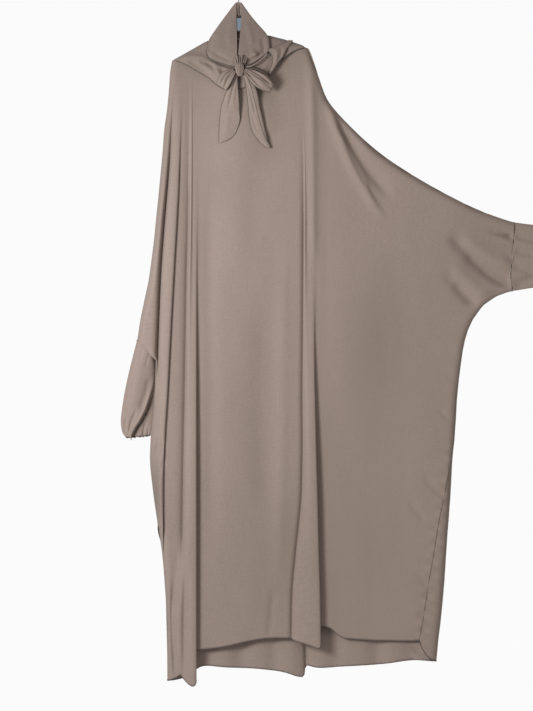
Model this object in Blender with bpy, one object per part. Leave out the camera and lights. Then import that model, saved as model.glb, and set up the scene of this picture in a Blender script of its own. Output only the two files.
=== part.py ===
"""A hooded jilbab with batwing sleeves, hung on a plain clothes hanger.

All sizes below are millimetres, and MM turns them into metres. X runs to the viewer's right,
Y away from the viewer and Z up. The origin is the inside top of the hanger's hook.
"""

import math

import bmesh
import bpy
import numpy as np

MM = 0.001
WALL = 1.6
# The front's folds turn tightly, so its wall is thinner
FRONT_WALL = 1.2
SEAM_GAP = 0.4

# Where the outline turns from the front panel to the back panel, as a soft edge
EDGE_REACH = 15.0

# The left side from the shoulder to the sleeve seam: height, distance from the middle
LEFT_UPPER = (
    (-191.5, -154), (-219, -158.5), (-261, -161.5), (-308, -166), (-355, -172.5), (-402, -176),
    (-472, -182.5), (-519, -187), (-566, -192), (-613, -196.5), (-660, -202.5), (-707, -209),
    (-754, -219), (-801, -228.5), (-850, -236),
)
# The left side below the sleeve seam
LEFT_LOWER = (
    (-896, -193), (-970, -196), (-1020, -199), (-1085, -204.5), (-1127, -206), (-1194, -200),
    (-1274, -189), (-1346, -178), (-1412, -172), (-1522, -166), (-1650, -165),
)
# The edge over the right shoulder and along the sleeve: distance from the middle, height
TOP_RIGHT = (
    (163, -160), (168, -171), (175, -190), (187, -219), (201, -261), (210, -284), (229, -308),
    (250, -331), (274, -355), (323, -402), (391, -449), (471, -496), (563, -543), (633, -567),
    (650, -572),
)
# The seam where the right sleeve takes its lower piece: height, distance from the middle
CUFF_SEAM = (
    (-572, 650), (-600, 649.5), (-628, 646.5), (-656, 643), (-684, 641.8), (-710, 643), (-733, 646),
)
# Under the right sleeve and down the right side: height, distance from the middle
RIGHT_SIDE = (
    (-733, 646), (-737, 632), (-745, 610), (-754, 596), (-766, 579), (-778, 569), (-801, 553),
    (-825, 542), (-848, 535), (-872, 530), (-907, 525), (-942, 520.5), (-989, 516), (-1083, 511),
    (-1130, 507), (-1224, 502), (-1318, 495), (-1412, 489), (-1506, 480.5), (-1553, 475),
    (-1605, 470),
)
# How far the side seam has rolled on to the front: height, width of the back panel that shows
SIDE_TURN = ((-1035, 0), (-1085, 1.6), (-1130, 6), (-1180, 12.5), (-1271, 25), (-1351, 32), (-1420, 40), (-1496, 44), (-1605, 52))
# The front panel's neck edge, which the cowl covers: distance from the middle, height
NECK_EDGE = (
    (-154, -192), (-145, -190), (-127, -189), (-96, -202), (-60, -223), (-28, -250), (5, -260),
    (40, -246), (75, -212), (106, -178), (147, -165), (163, -161),
)
# The shoulders and the back neck, where the back panel begins: distance from the middle, height
BACK_TOP = (
    (-154, -191.5), (-112, -167.5), (-69, -143), (-67.5, -144.5), (-60, -148.5), (-40, -154),
    (3, -157), (45, -150), (62, -139.5), (69, -132.5), (70, -131), (97, -138), (125, -145),
    (147, -156), (163, -160),
)
# How many points of that line lie before and after the neck
LEFT_SHOULDER = 3
RIGHT_SHOULDER = 10
# The hem of the front panel's right part and of the back panel
FRONT_HEM = (
    (208, -1520), (222, -1527), (232, -1540), (247, -1550), (323, -1555), (400, -1559), (480, -1556),
)
BACK_HEM = (
    (-165, -1650), (-110, -1640), (-92, -1612), (-23, -1619), (45, -1621), (105, -1628),
    (137, -1642), (158, -1639), (173, -1613), (252, -1616), (342, -1611), (412, -1600), (470, -1605),
)

# Lines that the folds of the front follow. Columns: height, then each line's distance from the
# middle: a is the gap beside the hanging sleeve, b and d are fold edges over a deeper layer, c is
# a soft ridge, e is a soft valley and f is the fold edge at the right
FRONT_LINES = (
    (-160, -143, -128, -112, -97, 118, 157),
    (-300, -152, -131, -114, -97, 146, 176),
    (-430, -160, -135, -117, -96, 156, 181),
    (-560, -171, -142, -120, -95.5, 158, 182),
    (-700, -181, -150, -124, -95, 156, 183),
    (-850, -187, -158, -126, -95, 153, 184.5),
    (-970, -191, -164, -127.5, -95, 147, 186),
    (-1085, -199, -171, -129.5, -95, 140, 188),
    (-1200, -196, -175, -131.5, -95, 134, 191),
    (-1346, -176.5, -174, -134.5, -95, 126, 195),
    (-1450, -169, -167, -136, -95, 124, 198),
    (-1650, -164, -162.5, -138, -95, 123, 200),
)
LINE_NAMES = ("a", "b", "c", "d", "e", "f")

# Each fold of the front: heights where it begins and is full, heights where it dies out,
# how far its edge overlaps the layer behind, and how far it stands in front of that layer
FOLD_GROWTH = {
    "a": (-230, -560, None, None, 0, 17),
    "b": (-330, -620, -1200, -1340, 14, 12),
    "c": (-430, -700, None, None, 0, 8),
    "d": (-330, -600, None, None, 20, 14),
    "e": (-500, -1000, None, None, 0, 2),
    "f": (-560, -1150, None, None, 24, 13),
}

# Soft creases pressed into the right sleeve: ends, depth, width
FRONT_CREASES = (
    ((213, -294), (334, -540), 6.0, 16.0),
    ((492, -604), (640, -722), 6.0, 15.0),
    ((477, -687), (563, -765), 4.0, 13.0),
)
# Soft hanging folds of the back: place at the shoulder, place at the hem, how far out, half width
BACK_FOLDS = (
    (-120, -128, 7, 16), (-62, -70, 5, 20), (-5, 8, 8, 22), (52, 86, 5, 18),
    (98, 158, 9, 17), (150, 232, 6, 24), (215, 330, 7, 22), (330, 415, 5, 26),
)

# Rows down the panels' left edge, with closer rows where the cloth turns
ROW_DROPS = (
    0, 1.5, 7, 20, 48, 90, 150, 205, 235, 238, 300, 345, 400, 490, 590, 658.5, 663, 681.5, 700,
    704.5, 748, 792, 836, 890, 960, 1050, 1150, 1250, 1350, 1425, 1458.5,
)
CUFF_ROW_DROP = 238.0
# Above this height the front and the back share the rows of the right side
SHARED_SIDE_END = -1440.0

SHOULDER_DEPTH = 9.0
HANGING_DEPTH = 25.0
SLEEVE_DEPTH = 10.0
BACK_DEPTH = 10.0
# Width under which the strip between the left side and the fold b runs out
STRIP_ROOM = 16.0


def heights_first(table):
    """A table of (distance, height) turned to (height, distance)."""
    return tuple((row[1], row[0]) for row in table)


def smooth_through(table, at):
    """A curve through the table's points with no overshoot, read at the given places."""
    rows = np.array(sorted(table), float)
    places = rows[:, 0]
    values = rows[:, 1]
    gaps = np.diff(places)
    slopes = np.diff(values) / gaps
    tangents = np.zeros(len(places))
    tangents[0] = slopes[0]
    tangents[-1] = slopes[-1]
    for index in range(1, len(places) - 1):
        before = slopes[index - 1]
        after = slopes[index]
        if before * after > 0:
            tangents[index] = 2 * before * after / (before + after)
    at = np.clip(np.asarray(at, float), places[0], places[-1])
    cell = np.clip(np.searchsorted(places, at, side="right") - 1, 0, len(gaps) - 1)
    width = gaps[cell]
    part = (at - places[cell]) / width
    return (
        values[cell] * (1 + 2 * part) * (1 - part) ** 2
        + tangents[cell] * width * part * (1 - part) ** 2
        + values[cell + 1] * part**2 * (3 - 2 * part)
        + tangents[cell + 1] * width * part**2 * (part - 1)
    )


def ease(part):
    """0 to 1 with a soft start and a soft end."""
    part = np.clip(part, 0, 1)
    return part * part * (3 - 2 * part)


def along(line, fractions):
    """Points at the given fractions of a line's length."""
    line = np.array(line, float)
    steps = np.hypot(*np.diff(line, axis=0).T)
    reach = np.concatenate([[0], np.cumsum(steps)]) / steps.sum()
    columns = [np.interp(fractions, reach, line[:, axis]) for axis in range(line.shape[1])]
    return np.stack(columns, axis=-1)


def distance_to(lines, x, z):
    """Distance from each point to the nearest of the given lines of (x, z) points."""
    nearest = np.full(np.shape(x), 1e9)
    for line in lines:
        line = np.array(line, float)
        for start, end in zip(line[:-1], line[1:]):
            run = end - start
            part = ((x - start[0]) * run[0] + (z - start[1]) * run[1]) / (run @ run)
            part = np.clip(part, 0, 1)
            gap = np.hypot(x - start[0] - part * run[0], z - start[1] - part * run[1])
            nearest = np.minimum(nearest, gap)
    return nearest


def edge_rise(distance, reach=EDGE_REACH):
    """How much of its depth the cloth has at a distance from the outline: a quarter circle."""
    part = np.clip(1 - distance / reach, 0, 1)
    return np.sqrt(1 - part * part)


def inset(arc, depth, reach=EDGE_REACH):
    """Distance from the outline of a point that lies an arc's length round its soft edge."""
    turn = arc / ((reach + depth) / 2)
    flat = reach + arc - math.pi / 4 * (reach + depth)
    return np.where(turn < math.pi / 2, reach * (1 - np.cos(np.minimum(turn, math.pi / 2))), flat)


def arc_of(distance, depth, reach=EDGE_REACH):
    """The arc's length round the soft edge for a distance from the outline."""
    turn = np.arccos(np.clip(1 - distance / reach, 0, 1))
    return np.where(distance < reach, turn * (reach + depth) / 2, distance - reach + math.pi / 4 * (reach + depth))


def spline_weights(count, fine):
    """Weights of a clamped cubic spline's control points, at fine samples for each of them."""
    degree = 3
    last = count - degree
    knots = np.concatenate([[0] * degree, np.arange(last + 1), [last] * degree]).astype(float)
    middles = np.array([knots[i + 1 : i + 1 + degree].mean() for i in range(count)])
    places = np.interp(np.linspace(0, count - 1, (count - 1) * fine + 1), np.arange(count), middles)
    weights = np.zeros((len(places), count + degree))
    for row, place in enumerate(places):
        cell = min(int(place), last - 1) + degree
        weights[row, cell] = 1
    for order in range(1, degree + 1):
        raised = np.zeros_like(weights)
        for index in range(count + degree - order):
            left = knots[index + order] - knots[index]
            right = knots[index + order + 1] - knots[index + 1]
            if left > 0:
                raised[:, index] += (places - knots[index]) / left * weights[:, index]
            if right > 0:
                raised[:, index] += (knots[index + order + 1] - places) / right * weights[:, index + 1]
        weights = raised
    return weights[:, :count]


def smooth_across(net, fine=1):
    """The net's rows drawn as smooth curves: net is rows x control points x 3."""
    return np.einsum("sc,rck->rsk", spline_weights(net.shape[1], fine), net)


def part_of(line):
    """How far along a line each of its points lies, from 0 to 1."""
    steps = np.hypot(*np.diff(line, axis=0).T)
    return np.concatenate([[0], np.cumsum(steps)]) / steps.sum()


def patch(left, right, top, bottom, down):
    """Points of a sheet between its four edges, each a list of (x, z). left and right have a point
    for each row, top and bottom one for each column, and down is how far down each row lies."""
    d = down[:, None]
    a = ((1 - d) * part_of(top) + d * part_of(bottom))[..., None]
    d = d[..., None]
    sides = (1 - a) * left[:, None] + a * right[:, None]
    above = top[None] - (1 - a) * top[0] - a * top[-1]
    below = bottom[None] - (1 - a) * bottom[0] - a * bottom[-1]
    return sides + (1 - d) * above + d * below


def normals_of(points, ring):
    if ring:
        across = np.roll(points, -1, axis=1) - np.roll(points, 1, axis=1)
    else:
        across = np.gradient(points, axis=1)
    down = np.gradient(points, axis=0)
    normals = np.cross(across, down)
    return normals / np.maximum(np.linalg.norm(normals, axis=2, keepdims=True), 1e-9)


def add_object(name, mesh, material):
    mesh.materials.append(material)
    mesh.shade_smooth()
    mesh.set_sharp_from_angle(angle=math.radians(60))
    thing = bpy.data.objects.new(name, mesh)
    bpy.context.scene.collection.objects.link(thing)
    return thing


def mesh_of(name, points, faces):
    mesh = bpy.data.meshes.new(name)
    mesh.from_pydata([tuple(point) for point in points], [], faces)
    shape = bmesh.new()
    shape.from_mesh(mesh)
    bmesh.ops.recalc_face_normals(shape, faces=shape.faces)
    shape.to_mesh(mesh)
    shape.free()
    return mesh


def cloth(name, points, material, ring=False, wall=WALL, side=0):
    """A closed wall of even thickness round a sheet of rows x columns points, in millimetres.
    Both sides of the wall are split along the same diagonals, so that they never cross.
    Where side is -1 the wall stays in front of the seam's gap, and where it is 1 behind it."""
    rows, columns = points.shape[:2]
    lift = normals_of(points, ring) * wall / 2
    both = np.stack([points + lift, points - lift])
    side = np.broadcast_to(side, (rows, columns))
    clear = side * np.maximum(side * both[..., 1], SEAM_GAP / 2)
    both[..., 1] = np.where(side == 0, both[..., 1], clear)
    both = both.reshape(-1, 3) * MM
    inner = rows * columns
    flat = points.reshape(-1, 3)
    faces = []
    cells = columns if ring else columns - 1
    for row in range(rows - 1):
        for column in range(cells):
            a = row * columns + column
            b = row * columns + (column + 1) % columns
            c = b + columns
            d = a + columns
            if np.linalg.norm(flat[a] - flat[c]) < np.linalg.norm(flat[b] - flat[d]):
                halves = ((a, b, c), (a, c, d))
            else:
                halves = ((a, b, d), (b, c, d))
            for p, q, r in halves:
                faces.append((p, q, r))
                faces.append((inner + r, inner + q, inner + p))
    for column in range(cells):
        a = column
        b = (column + 1) % columns
        faces.append((b, a, inner + a, inner + b))
        a += (rows - 1) * columns
        b += (rows - 1) * columns
        faces.append((a, b, inner + b, inner + a))
    if not ring:
        for row in range(rows - 1):
            a = row * columns
            faces.append((a, a + columns, inner + a + columns, inner + a))
            a += columns - 1
            faces.append((a + columns, a, inner + a, inner + a + columns))
    return add_object(name, mesh_of(name, both, faces), material)


def tube(name, path, radius, sides, material):
    """A solid round bar along a path of points in millimetres, with flat ends."""
    path = np.array(path, float)
    ahead = np.gradient(path, axis=0)
    ahead /= np.linalg.norm(ahead, axis=1, keepdims=True)
    across = np.cross(ahead, (0.0, 1.0, 0.0))
    across /= np.linalg.norm(across, axis=1, keepdims=True)
    up = np.cross(across, ahead)
    angles = np.linspace(0, 2 * math.pi, sides, endpoint=False)
    turn = np.cos(angles)[None, :, None] * across[:, None] + np.sin(angles)[None, :, None] * up[:, None]
    rings = path[:, None] + radius * turn
    count = len(path)
    faces = [tuple(range(sides))[::-1], tuple((count - 1) * sides + side for side in range(sides))]
    for row in range(count - 1):
        for side in range(sides):
            a = row * sides + side
            b = row * sides + (side + 1) % sides
            faces.append((a, b, b + sides, a + sides))
    return add_object(name, mesh_of(name, rings.reshape(-1, 3) * MM, faces), material)


def outline_of_sides():
    """The lines where front and back meet, as lists of (x, z) points."""
    upper = np.linspace(LEFT_UPPER[0][0], LEFT_UPPER[-1][0], 56)
    lower = np.linspace(LEFT_LOWER[0][0], LEFT_LOWER[-1][0], 64)
    return (
        np.stack([left_side(upper), upper], axis=-1),
        np.stack([left_side(lower), lower], axis=-1),
        ((157, -158.5),) + TOP_RIGHT,
        heights_first(RIGHT_SIDE),
    )


def growth(name, height):
    """How far a fold has grown at each height, from 0 to 1."""
    start, full, fade, end, _, _ = FOLD_GROWTH[name]
    grown = ease((start - height) / (start - full))
    if fade is not None:
        grown = grown * (1 - ease((fade - height) / (fade - end)))
    return grown


def left_side(height):
    upper = smooth_through(LEFT_UPPER, height)
    lower = smooth_through(LEFT_LOWER, height)
    seam = np.interp(-height, (850, 896), (LEFT_UPPER[-1][1], LEFT_LOWER[0][1]))
    return np.where(height > -850, upper, np.where(height < -896, lower, seam))


def fold_line(name, height):
    column = LINE_NAMES.index(name) + 1
    return smooth_through([(row[0], row[column]) for row in FRONT_LINES], height)


def side_turn(height):
    """Width of the back panel that shows on the front, along the right side."""
    return np.interp(-np.asarray(height, float), [-row[0] for row in SIDE_TURN], [row[1] for row in SIDE_TURN])


def base_depth(x, height):
    """How far the plain front hangs in front of the hanger."""
    hanging = SHOULDER_DEPTH + (HANGING_DEPTH - SHOULDER_DEPTH) * ease((-180 - height) / 260)
    slump = 9 * np.exp(-(((x - 5) / 60) ** 2) - ((height + 235) / 60) ** 2)
    return hanging + slump


# Each column of the front panel up to the fold f: the line it follows, its distance from that line
# while the cloth is open and once the fold is full (in overlaps and in mm), how far out it stands
# then, in the fold's own depth, and its height at the hem
FRONT_COLUMNS = (
    ("left", 0.0, 0.0, 0, 0.0, -1650),
    ("left", 3.0, 3.0, 0, 0.1, -1650),
    ("left", 8.0, 9.0, 0, 0.3, -1650),
    ("a", -7.0, -14.0, 0, 0.45, -1650),
    ("a", -5.0, -5.0, 0, 0.3, -1650),
    ("a", -3.0, -1.5, 0, -0.5, -1650),
    ("a", 0.0, 0.8, 0, -0.75, -1650),
    ("a", 3.0, 2.5, 0, -0.1, -1650),
    ("a", 6.0, 7.0, 0, 0.5, -1650),
    ("b", -7.0, -8.0, 0, 1.05, -1650),
    ("b", -3.0, -1.0, 0, 1.0, -1650),
    ("b", -1.0, 0.5, 0, 0.72, -1650),
    ("b", 1.0, 0.0, -1, 0.5, -1649),
    ("b", 2.5, 0.0, -1, 0.15, -1648),
    ("b", 5.0, 5.0, 0, 0.0, -1646),
    ("c", -14.0, -14.0, 0, 0.0, -1640),
    ("c", -4.0, -4.0, 0, 0.15, -1636),
    ("c", 3.0, 3.0, 0, 1.1, -1644),
    ("d", -16.0, -18.0, 0, 1.0, -1660),
    ("d", -7.0, -6.0, 0, 1.05, -1664),
    ("d", -3.0, -0.5, 0, 1.0, -1655),
    ("d", -1.0, 0.5, 0, 0.75, -1640),
    ("d", 1.0, 0.0, -1, 0.55, -1612),
    ("d", 3.0, 0.0, -1, 0.15, -1588),
    ("d", 7.0, 6.0, 0, 0.0, -1575),
    ("d", 32.0, 32.0, 0, 0.05, -1574),
    ("middle", -24.0, -24.0, 0, 0.1, -1569),
    ("middle", 44.0, 44.0, 0, 0.15, -1550),
    ("e", -12.0, -12.0, 0, 0.2, -1548),
    ("e", 0.0, 0.0, 0, -1.0, -1552),
    ("e", 9.0, 14.0, 0, 1.2, -1557),
    ("f", -15.0, -22.0, 0, 0.95, -1567),
    ("f", -8.0, -6.0, 0, 1.0, -1575),
    ("f", -4.0, -0.5, 0, 0.97, -1571),
    ("f", -1.5, 0.5, 0, 0.75, -1558),
    ("f", 1.0, 0.0, -1, 0.5, -1545),
    ("f", 3.5, 0.0, -1, 0.1, -1530),
    ("f", 8.0, 8.0, 0, -0.1, -1520),
)
# Columns next to the right side, as lengths round the soft edge counted from the panel's edge
FRONT_EDGE_ARCS = (34.0, 21.0, 11.0, 3.0, 0.0)


def front_left_block(drops):
    """Control points of the front from the left side to the fold f, as x, depth and height."""
    net = []
    neck = np.array(NECK_EDGE, float)
    for line, open_off, full_off, overlaps, out, hem in FRONT_COLUMNS:
        height = np.full(len(drops), -190.0)
        for _ in range(3):
            x = front_column_x(line, open_off, full_off, overlaps, height)
            top = np.interp(x[0], neck[:, 0], neck[:, 1])
            height = top + (hem - top) * drops / drops[-1]
        x = front_column_x(line, open_off, full_off, overlaps, height)
        name = {"left": "a", "middle": "d"}.get(line, line)
        stand = out * FOLD_GROWTH[name][5] * growth(name, height)
        if name == "a":
            stand = stand * ease((fold_line("b", height) - left_side(height)) / STRIP_ROOM)
        depth = base_depth(x, height) + stand
        net.append(np.stack([x, depth, height], axis=-1))
    return np.stack(net, axis=1)


def front_column_x(line, open_off, full_off, overlaps, height):
    if line == "left":
        width = fold_line("a", height) - left_side(height)
        return left_side(height) + np.minimum(full_off, width * full_off / 22)
    if line == "middle":
        return np.full(len(height), full_off)
    grown = growth(line, height)
    full = full_off + overlaps * FOLD_GROWTH[line][4]
    offset = open_off * (1 - grown) + full * grown
    if (line == "a" and full_off > 0) or (line == "b" and full_off < 0):
        strip = fold_line("b", height) - fold_line("a", height)
        offset = offset * np.clip(strip / STRIP_ROOM, 0, 1)
    x = fold_line(line, height) + offset
    if line == "a" and full_off < 0:
        room = fold_line("a", height) - left_side(height)
        x = np.maximum(x, left_side(height) + room * (0.35 if full_off < -10 else 0.6 if full_off < -2 else 0.8))
        x = np.where(room < 20, fold_line("a", height) + room * full_off / 22, x)
    return x


def right_edge(down, corner, hem_height):
    """The cuff seam, then the side down to the hem, with a point for each row."""
    seam = along(heights_first(CUFF_SEAM), np.clip(down / corner, 0, 1))
    below = along(heights_first(RIGHT_SIDE), np.clip((down - corner) / (1 - corner), 0, 1))
    drop = (SHARED_SIDE_END - below[:, 1]) / (SHARED_SIDE_END - RIGHT_SIDE[-1][0])
    height = SHARED_SIDE_END - drop * (SHARED_SIDE_END - hem_height)
    shortened = np.stack([smooth_through(RIGHT_SIDE, height), height], axis=-1)
    below = np.where((drop > 0)[:, None], shortened, below)
    return np.where((down < corner)[:, None], seam, below)


def edge_depth(height):
    """Depth of the front beside the right sleeve's seam and down the right side."""
    return SLEEVE_DEPTH + 8 * ease((-760 - height) / 500)


def moved_in(points, reach):
    """Points moved to the left, away from the right side."""
    return np.stack([points[..., 0] - reach, points[..., 1]], axis=-1)


def beside_seam(edge, reach, down, corner):
    """A column beside the cuff seam and the right side, which starts on the sleeve's top edge."""
    column = moved_in(edge, reach)
    top = np.interp(column[0, 0], *np.array(TOP_RIGHT, float).T)
    column[:, 1] += (top - column[0, 1]) * np.clip(1 - down / corner, 0, 1)
    return column


def crease_depth(creases, x, height):
    """Depth of soft troughs along straight lines, which die out towards their ends."""
    total = np.zeros(np.shape(x))
    for start, end, depth, width in creases:
        run = np.array(end, float) - start
        length = np.hypot(*run)
        part = ((x - start[0]) * run[0] + (height - start[1]) * run[1]) / length**2
        off = ((x - start[0]) * run[1] - (height - start[1]) * run[0]) / length
        total += depth * np.exp(-((off / width) ** 2)) * ease((part + 0.1) / 0.4) * ease((1.1 - part) / 0.4)
    return total


def front_panel(drops, fine=1):
    left = front_left_block(drops)
    down = drops / drops[-1]
    corner = CUFF_ROW_DROP / drops[-1]
    first = left[:, -1][:, (0, 2)]
    edge = right_edge(down, corner, FRONT_HEM[-1][1])
    depth = edge_depth(edge[:, 1])
    below_seam = down > corner
    turned = arc_of(side_turn(edge[:, 1]), depth) + SEAM_GAP / 2
    columns = []
    for arc in FRONT_EDGE_ARCS:
        reach = np.where(below_seam, inset(turned + arc, depth), arc)
        columns.append(beside_seam(edge, reach, down, corner))
    beside = np.stack(columns, axis=1)
    inner = np.array([first[0]] + [p for p in TOP_RIGHT if first[0, 0] + 6 < p[0] < beside[0, 0, 0] - 9])
    top = np.concatenate([inner, beside[:1, 0]])
    hem_end = beside[-1, 0]
    hem = [tuple(first[-1])] + [p for p in FRONT_HEM[1:] if p[0] < hem_end[0] - 5] + [tuple(hem_end)]
    bottom = along(hem, np.linspace(0, 1, len(top)))
    flat = patch(first, beside[:, 0], top, bottom, down)[:, 1:-1]
    flat = np.concatenate([flat, beside], axis=1)
    part = (flat[..., 0] - first[:, :1]) / (beside[:, -1, :1] - first[:, :1])
    start = base_depth(np.array(185.0), flat[..., 1]) - 0.1 * FOLD_GROWTH["f"][5]
    middle = start * (1 - part) + depth[:, None] * part
    middle -= crease_depth(FRONT_CREASES, flat[..., 0], flat[..., 1])
    right = np.stack([flat[..., 0], middle, flat[..., 1]], axis=-1)
    net = smooth_across(np.concatenate([left, right], axis=1), fine)
    x = net[..., 0]
    height = net[..., 2]
    rise = edge_rise(distance_to(outline_of_sides(), x, height))
    return np.stack([x, -SEAM_GAP / 2 - rise * net[..., 1], height], axis=-1)


BACK_LEFT_ARCS = (0.0, 5.0, 14.0)
BACK_RIGHT_ARCS = (68.0, 53.0, 39.0, 26.0, 14.0, 4.0, 0.0)


def back_hang(x, height):
    """Soft hanging folds of the back, which open towards the hem."""
    total = np.zeros(np.shape(x))
    drop = np.clip((-190 - height) / 1400, 0, 1)
    for at_top, at_hem, out, half_width in BACK_FOLDS:
        line = at_top + (at_hem - at_top) * drop
        total += out * ease(drop * 1.6) * np.exp(-(((x - line) / half_width) ** 2))
    return total


def back_panel(drops):
    down = drops / drops[-1]
    corner = CUFF_ROW_DROP / drops[-1]
    left = []
    for arc in BACK_LEFT_ARCS:
        reach = inset(np.array(arc), BACK_DEPTH)
        top = np.interp(BACK_TOP[0][0] + reach, *np.array(BACK_TOP).T)
        height = top + (BACK_HEM[0][1] - top) * down
        left.append(np.stack([left_side(height) + reach, height], axis=-1))
    right = []
    depths = []
    facing = []
    for arc in BACK_RIGHT_ARCS:
        hem = BACK_HEM[-1][1]
        for _ in range(4):
            edge = right_edge(down, corner, hem)
            front_depth = edge_depth(edge[:, 1])
            turned = np.where(down > corner, arc_of(side_turn(edge[:, 1]), front_depth), 0)
            place = turned - SEAM_GAP / 2 - arc
            on_front = (down > corner) & (place > 0)
            reach = np.where(on_front, inset(place, front_depth), inset(-place, BACK_DEPTH))
            shown = reach[-1] / side_turn(edge[-1, 1]) if on_front[-1] else 0
            hem = BACK_HEM[-1][1] + (FRONT_HEM[-1][1] - BACK_HEM[-1][1]) * min(shown, 1) ** 2
        right.append(beside_seam(edge, np.where(down > corner, reach, arc), down, corner))
        depths.append(front_depth)
        facing.append(np.where(on_front, -1, 1))
    inner = [p for p in BACK_TOP + TOP_RIGHT[1:] if left[-1][0, 0] + 9 < p[0] < right[0][0, 0] - 9]
    top = np.array([left[-1][0]] + inner + [right[0][0]])
    hem = [tuple(left[-1][-1])]
    hem += [p for p in BACK_HEM if left[-1][-1, 0] + 5 < p[0] < right[0][-1, 0] - 5]
    hem.append(tuple(right[0][-1]))
    bottom = along(hem, np.linspace(0, 1, len(top)))
    middle = patch(left[-1], right[0], top, bottom, down)[:, 1:-1]
    flat = np.concatenate([np.stack(left, axis=1), middle, np.stack(right, axis=1)], axis=1)
    x = flat[..., 0]
    height = flat[..., 1]
    side_sign = np.ones_like(x)
    side_sign[:, -len(right) :] = np.stack(facing, axis=1)
    shoulders = (BACK_TOP[:LEFT_SHOULDER], BACK_TOP[RIGHT_SHOULDER:])
    rise = edge_rise(distance_to(outline_of_sides() + shoulders, x, height))
    depth = BACK_DEPTH + back_hang(x, height)
    depth[:, -len(right) :] = np.where(
        side_sign[:, -len(right) :] > 0, depth[:, -len(right) :], np.stack(depths, axis=1)
    )
    points = np.stack([x, side_sign * (SEAM_GAP / 2 + rise * depth), height], axis=-1)
    return points, np.where(side_sign > 0, 1, 0)


# The sleeve pieces. Columns: the two ends of the flat tube at this ring (x, z), then how far its
# front and its back stand out
LEFT_SLEEVE = (
    ((-236.7, -850.7), (-195.6, -894.7), 27, 9),
    ((-247, -890), (-196.5, -922), 25, 9),
    ((-260, -945), (-198.3, -966), 22, 9),
    ((-269, -992), (-200.6, -1005), 20, 9),
    ((-274.5, -1038), (-203.6, -1042), 17, 9),
    ((-271, -1064), (-206, -1064), 14, 8),
    ((-262, -1079), (-208.5, -1073), 12, 8),
)
RIGHT_SLEEVE = (
    ((651, -572), (647, -733), 10, 10),
    ((690, -577), (690, -726), 13, 11),
    ((740, -581.5), (743, -717), 16, 12),
    ((795, -590), (798, -707), 17, 13),
    ((842, -602), (843, -695), 16, 12),
    ((862, -609), (862, -688), 13, 10),
    ((878, -614), (877, -682), 11, 9),
)
SLEEVE_SIDES = 24
SEAM_BOW_RINGS = 3
CUFF_WAVES = 7
CUFF_WAVE_HEIGHT = 1.6


def sleeve_tube(rings, seam, sides=SLEEVE_SIDES):
    """A flattened tube from the seam's curve through the rings, gathered by elastic at its end."""
    seam = np.array(seam, float)
    points = []
    for index, (start, end, front, back) in enumerate(rings):
        start = np.array(start, float)
        end = np.array(end, float)
        angles = np.linspace(0, 2 * math.pi, sides, endpoint=False)
        gather = CUFF_WAVE_HEIGHT * ease((index - len(rings) + 4) / 3)
        swell = gather * np.sin(angles * CUFF_WAVES)
        out = np.where(np.sin(angles) > 0, front, back) + swell
        run = end - start
        length = np.hypot(*run)
        place = (1 - np.cos(angles) * (1 + swell / length)) / 2
        flat = start + place[:, None] * run
        bow = along(seam, place) - seam[0] - place[:, None] * (seam[-1] - seam[0])
        flat += bow * max(0, 1 - index / SEAM_BOW_RINGS)
        bend = np.sign(np.sin(angles)) * np.abs(np.sin(angles)) ** 0.7
        points.append(np.stack([flat[:, 0], -out * bend, flat[:, 1]], axis=-1))
    return np.array(points)


# The hood's sides. Columns: height, left side, left edge of the slit, right edge, right side,
# depth of the front, depth of the back
HOOD_SECTIONS = (
    (-55, -5, -2.2, 8.6, 11, 5, 5),
    (-68, -15, -2.8, 9.2, 18.5, 8, 6.5),
    (-87, -29, -2.9, 9.0, 32, 12, 8),
    (-106, -43, -2.6, 8.0, 48, 16, 10.5),
    (-127, -57, -2.0, 6.6, 63.5, 21, 12.6),
    (-145, -69.5, -1.2, 5.4, 70, 25, 13),
    (-163, -72, -0.6, 4.4, 76, 30, 13),
    (-182, -74, -0.2, 3.8, 79, 35, 13),
    (-212, -75, -0.2, 3.6, 80, 40, 13),
)
# Columns round each half: part of the way from the slit to the side, depth as a part of the front
# (positive) or the back (negative), and height where the column ends on the left and on the right
HOOD_COLUMNS = (
    (0.00, 1.0, -208, -208), (0.14, 1.0, -207, -207), (0.35, 0.98, -203, -203),
    (0.60, 0.95, -196.5, -191), (0.82, 0.90, -190, -179), (0.97, 0.84, -184, -168),
    (1.00, 0.74, -168, -152), (1.00, 0.40, -140, -124), (1.00, -0.4, -139, -123),
    (0.93, -0.9, -143, -129), (0.70, -1.0, -151, -143), (0.40, -1.0, -156, -152),
    (0.06, -1.0, -158, -158),
)
HOOD_ROWS = 12


def hood_half(side, rows=HOOD_ROWS, fine=1):
    """One side of the hood, from the slit round the side to the middle of the back."""
    table = np.array(HOOD_SECTIONS, float)
    net = np.zeros((rows, len(HOOD_COLUMNS), 3))
    for index, (part, depth, left_end, right_end) in enumerate(HOOD_COLUMNS):
        end = left_end if side == "left" else right_end
        height = -55 + (end + 55) * np.linspace(0, 1, rows)
        reads = [smooth_through(list(zip(table[:, 0], table[:, column])), height) for column in range(1, 7)]
        outer, slit = (reads[0], reads[1]) if side == "left" else (reads[3], reads[2])
        middle = 3.2 + (-SEAM_GAP / 2 if side == "left" else SEAM_GAP / 2)
        inner = slit if depth > 0 else np.full(rows, middle)
        x = inner + part * (outer - inner)
        y = np.where(depth > 0, -depth * reads[4], -depth * reads[5])
        net[:, index] = np.stack([x, y, height], axis=-1)
    net[:, -1, 0] = middle
    return smooth_across(net, fine)


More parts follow.
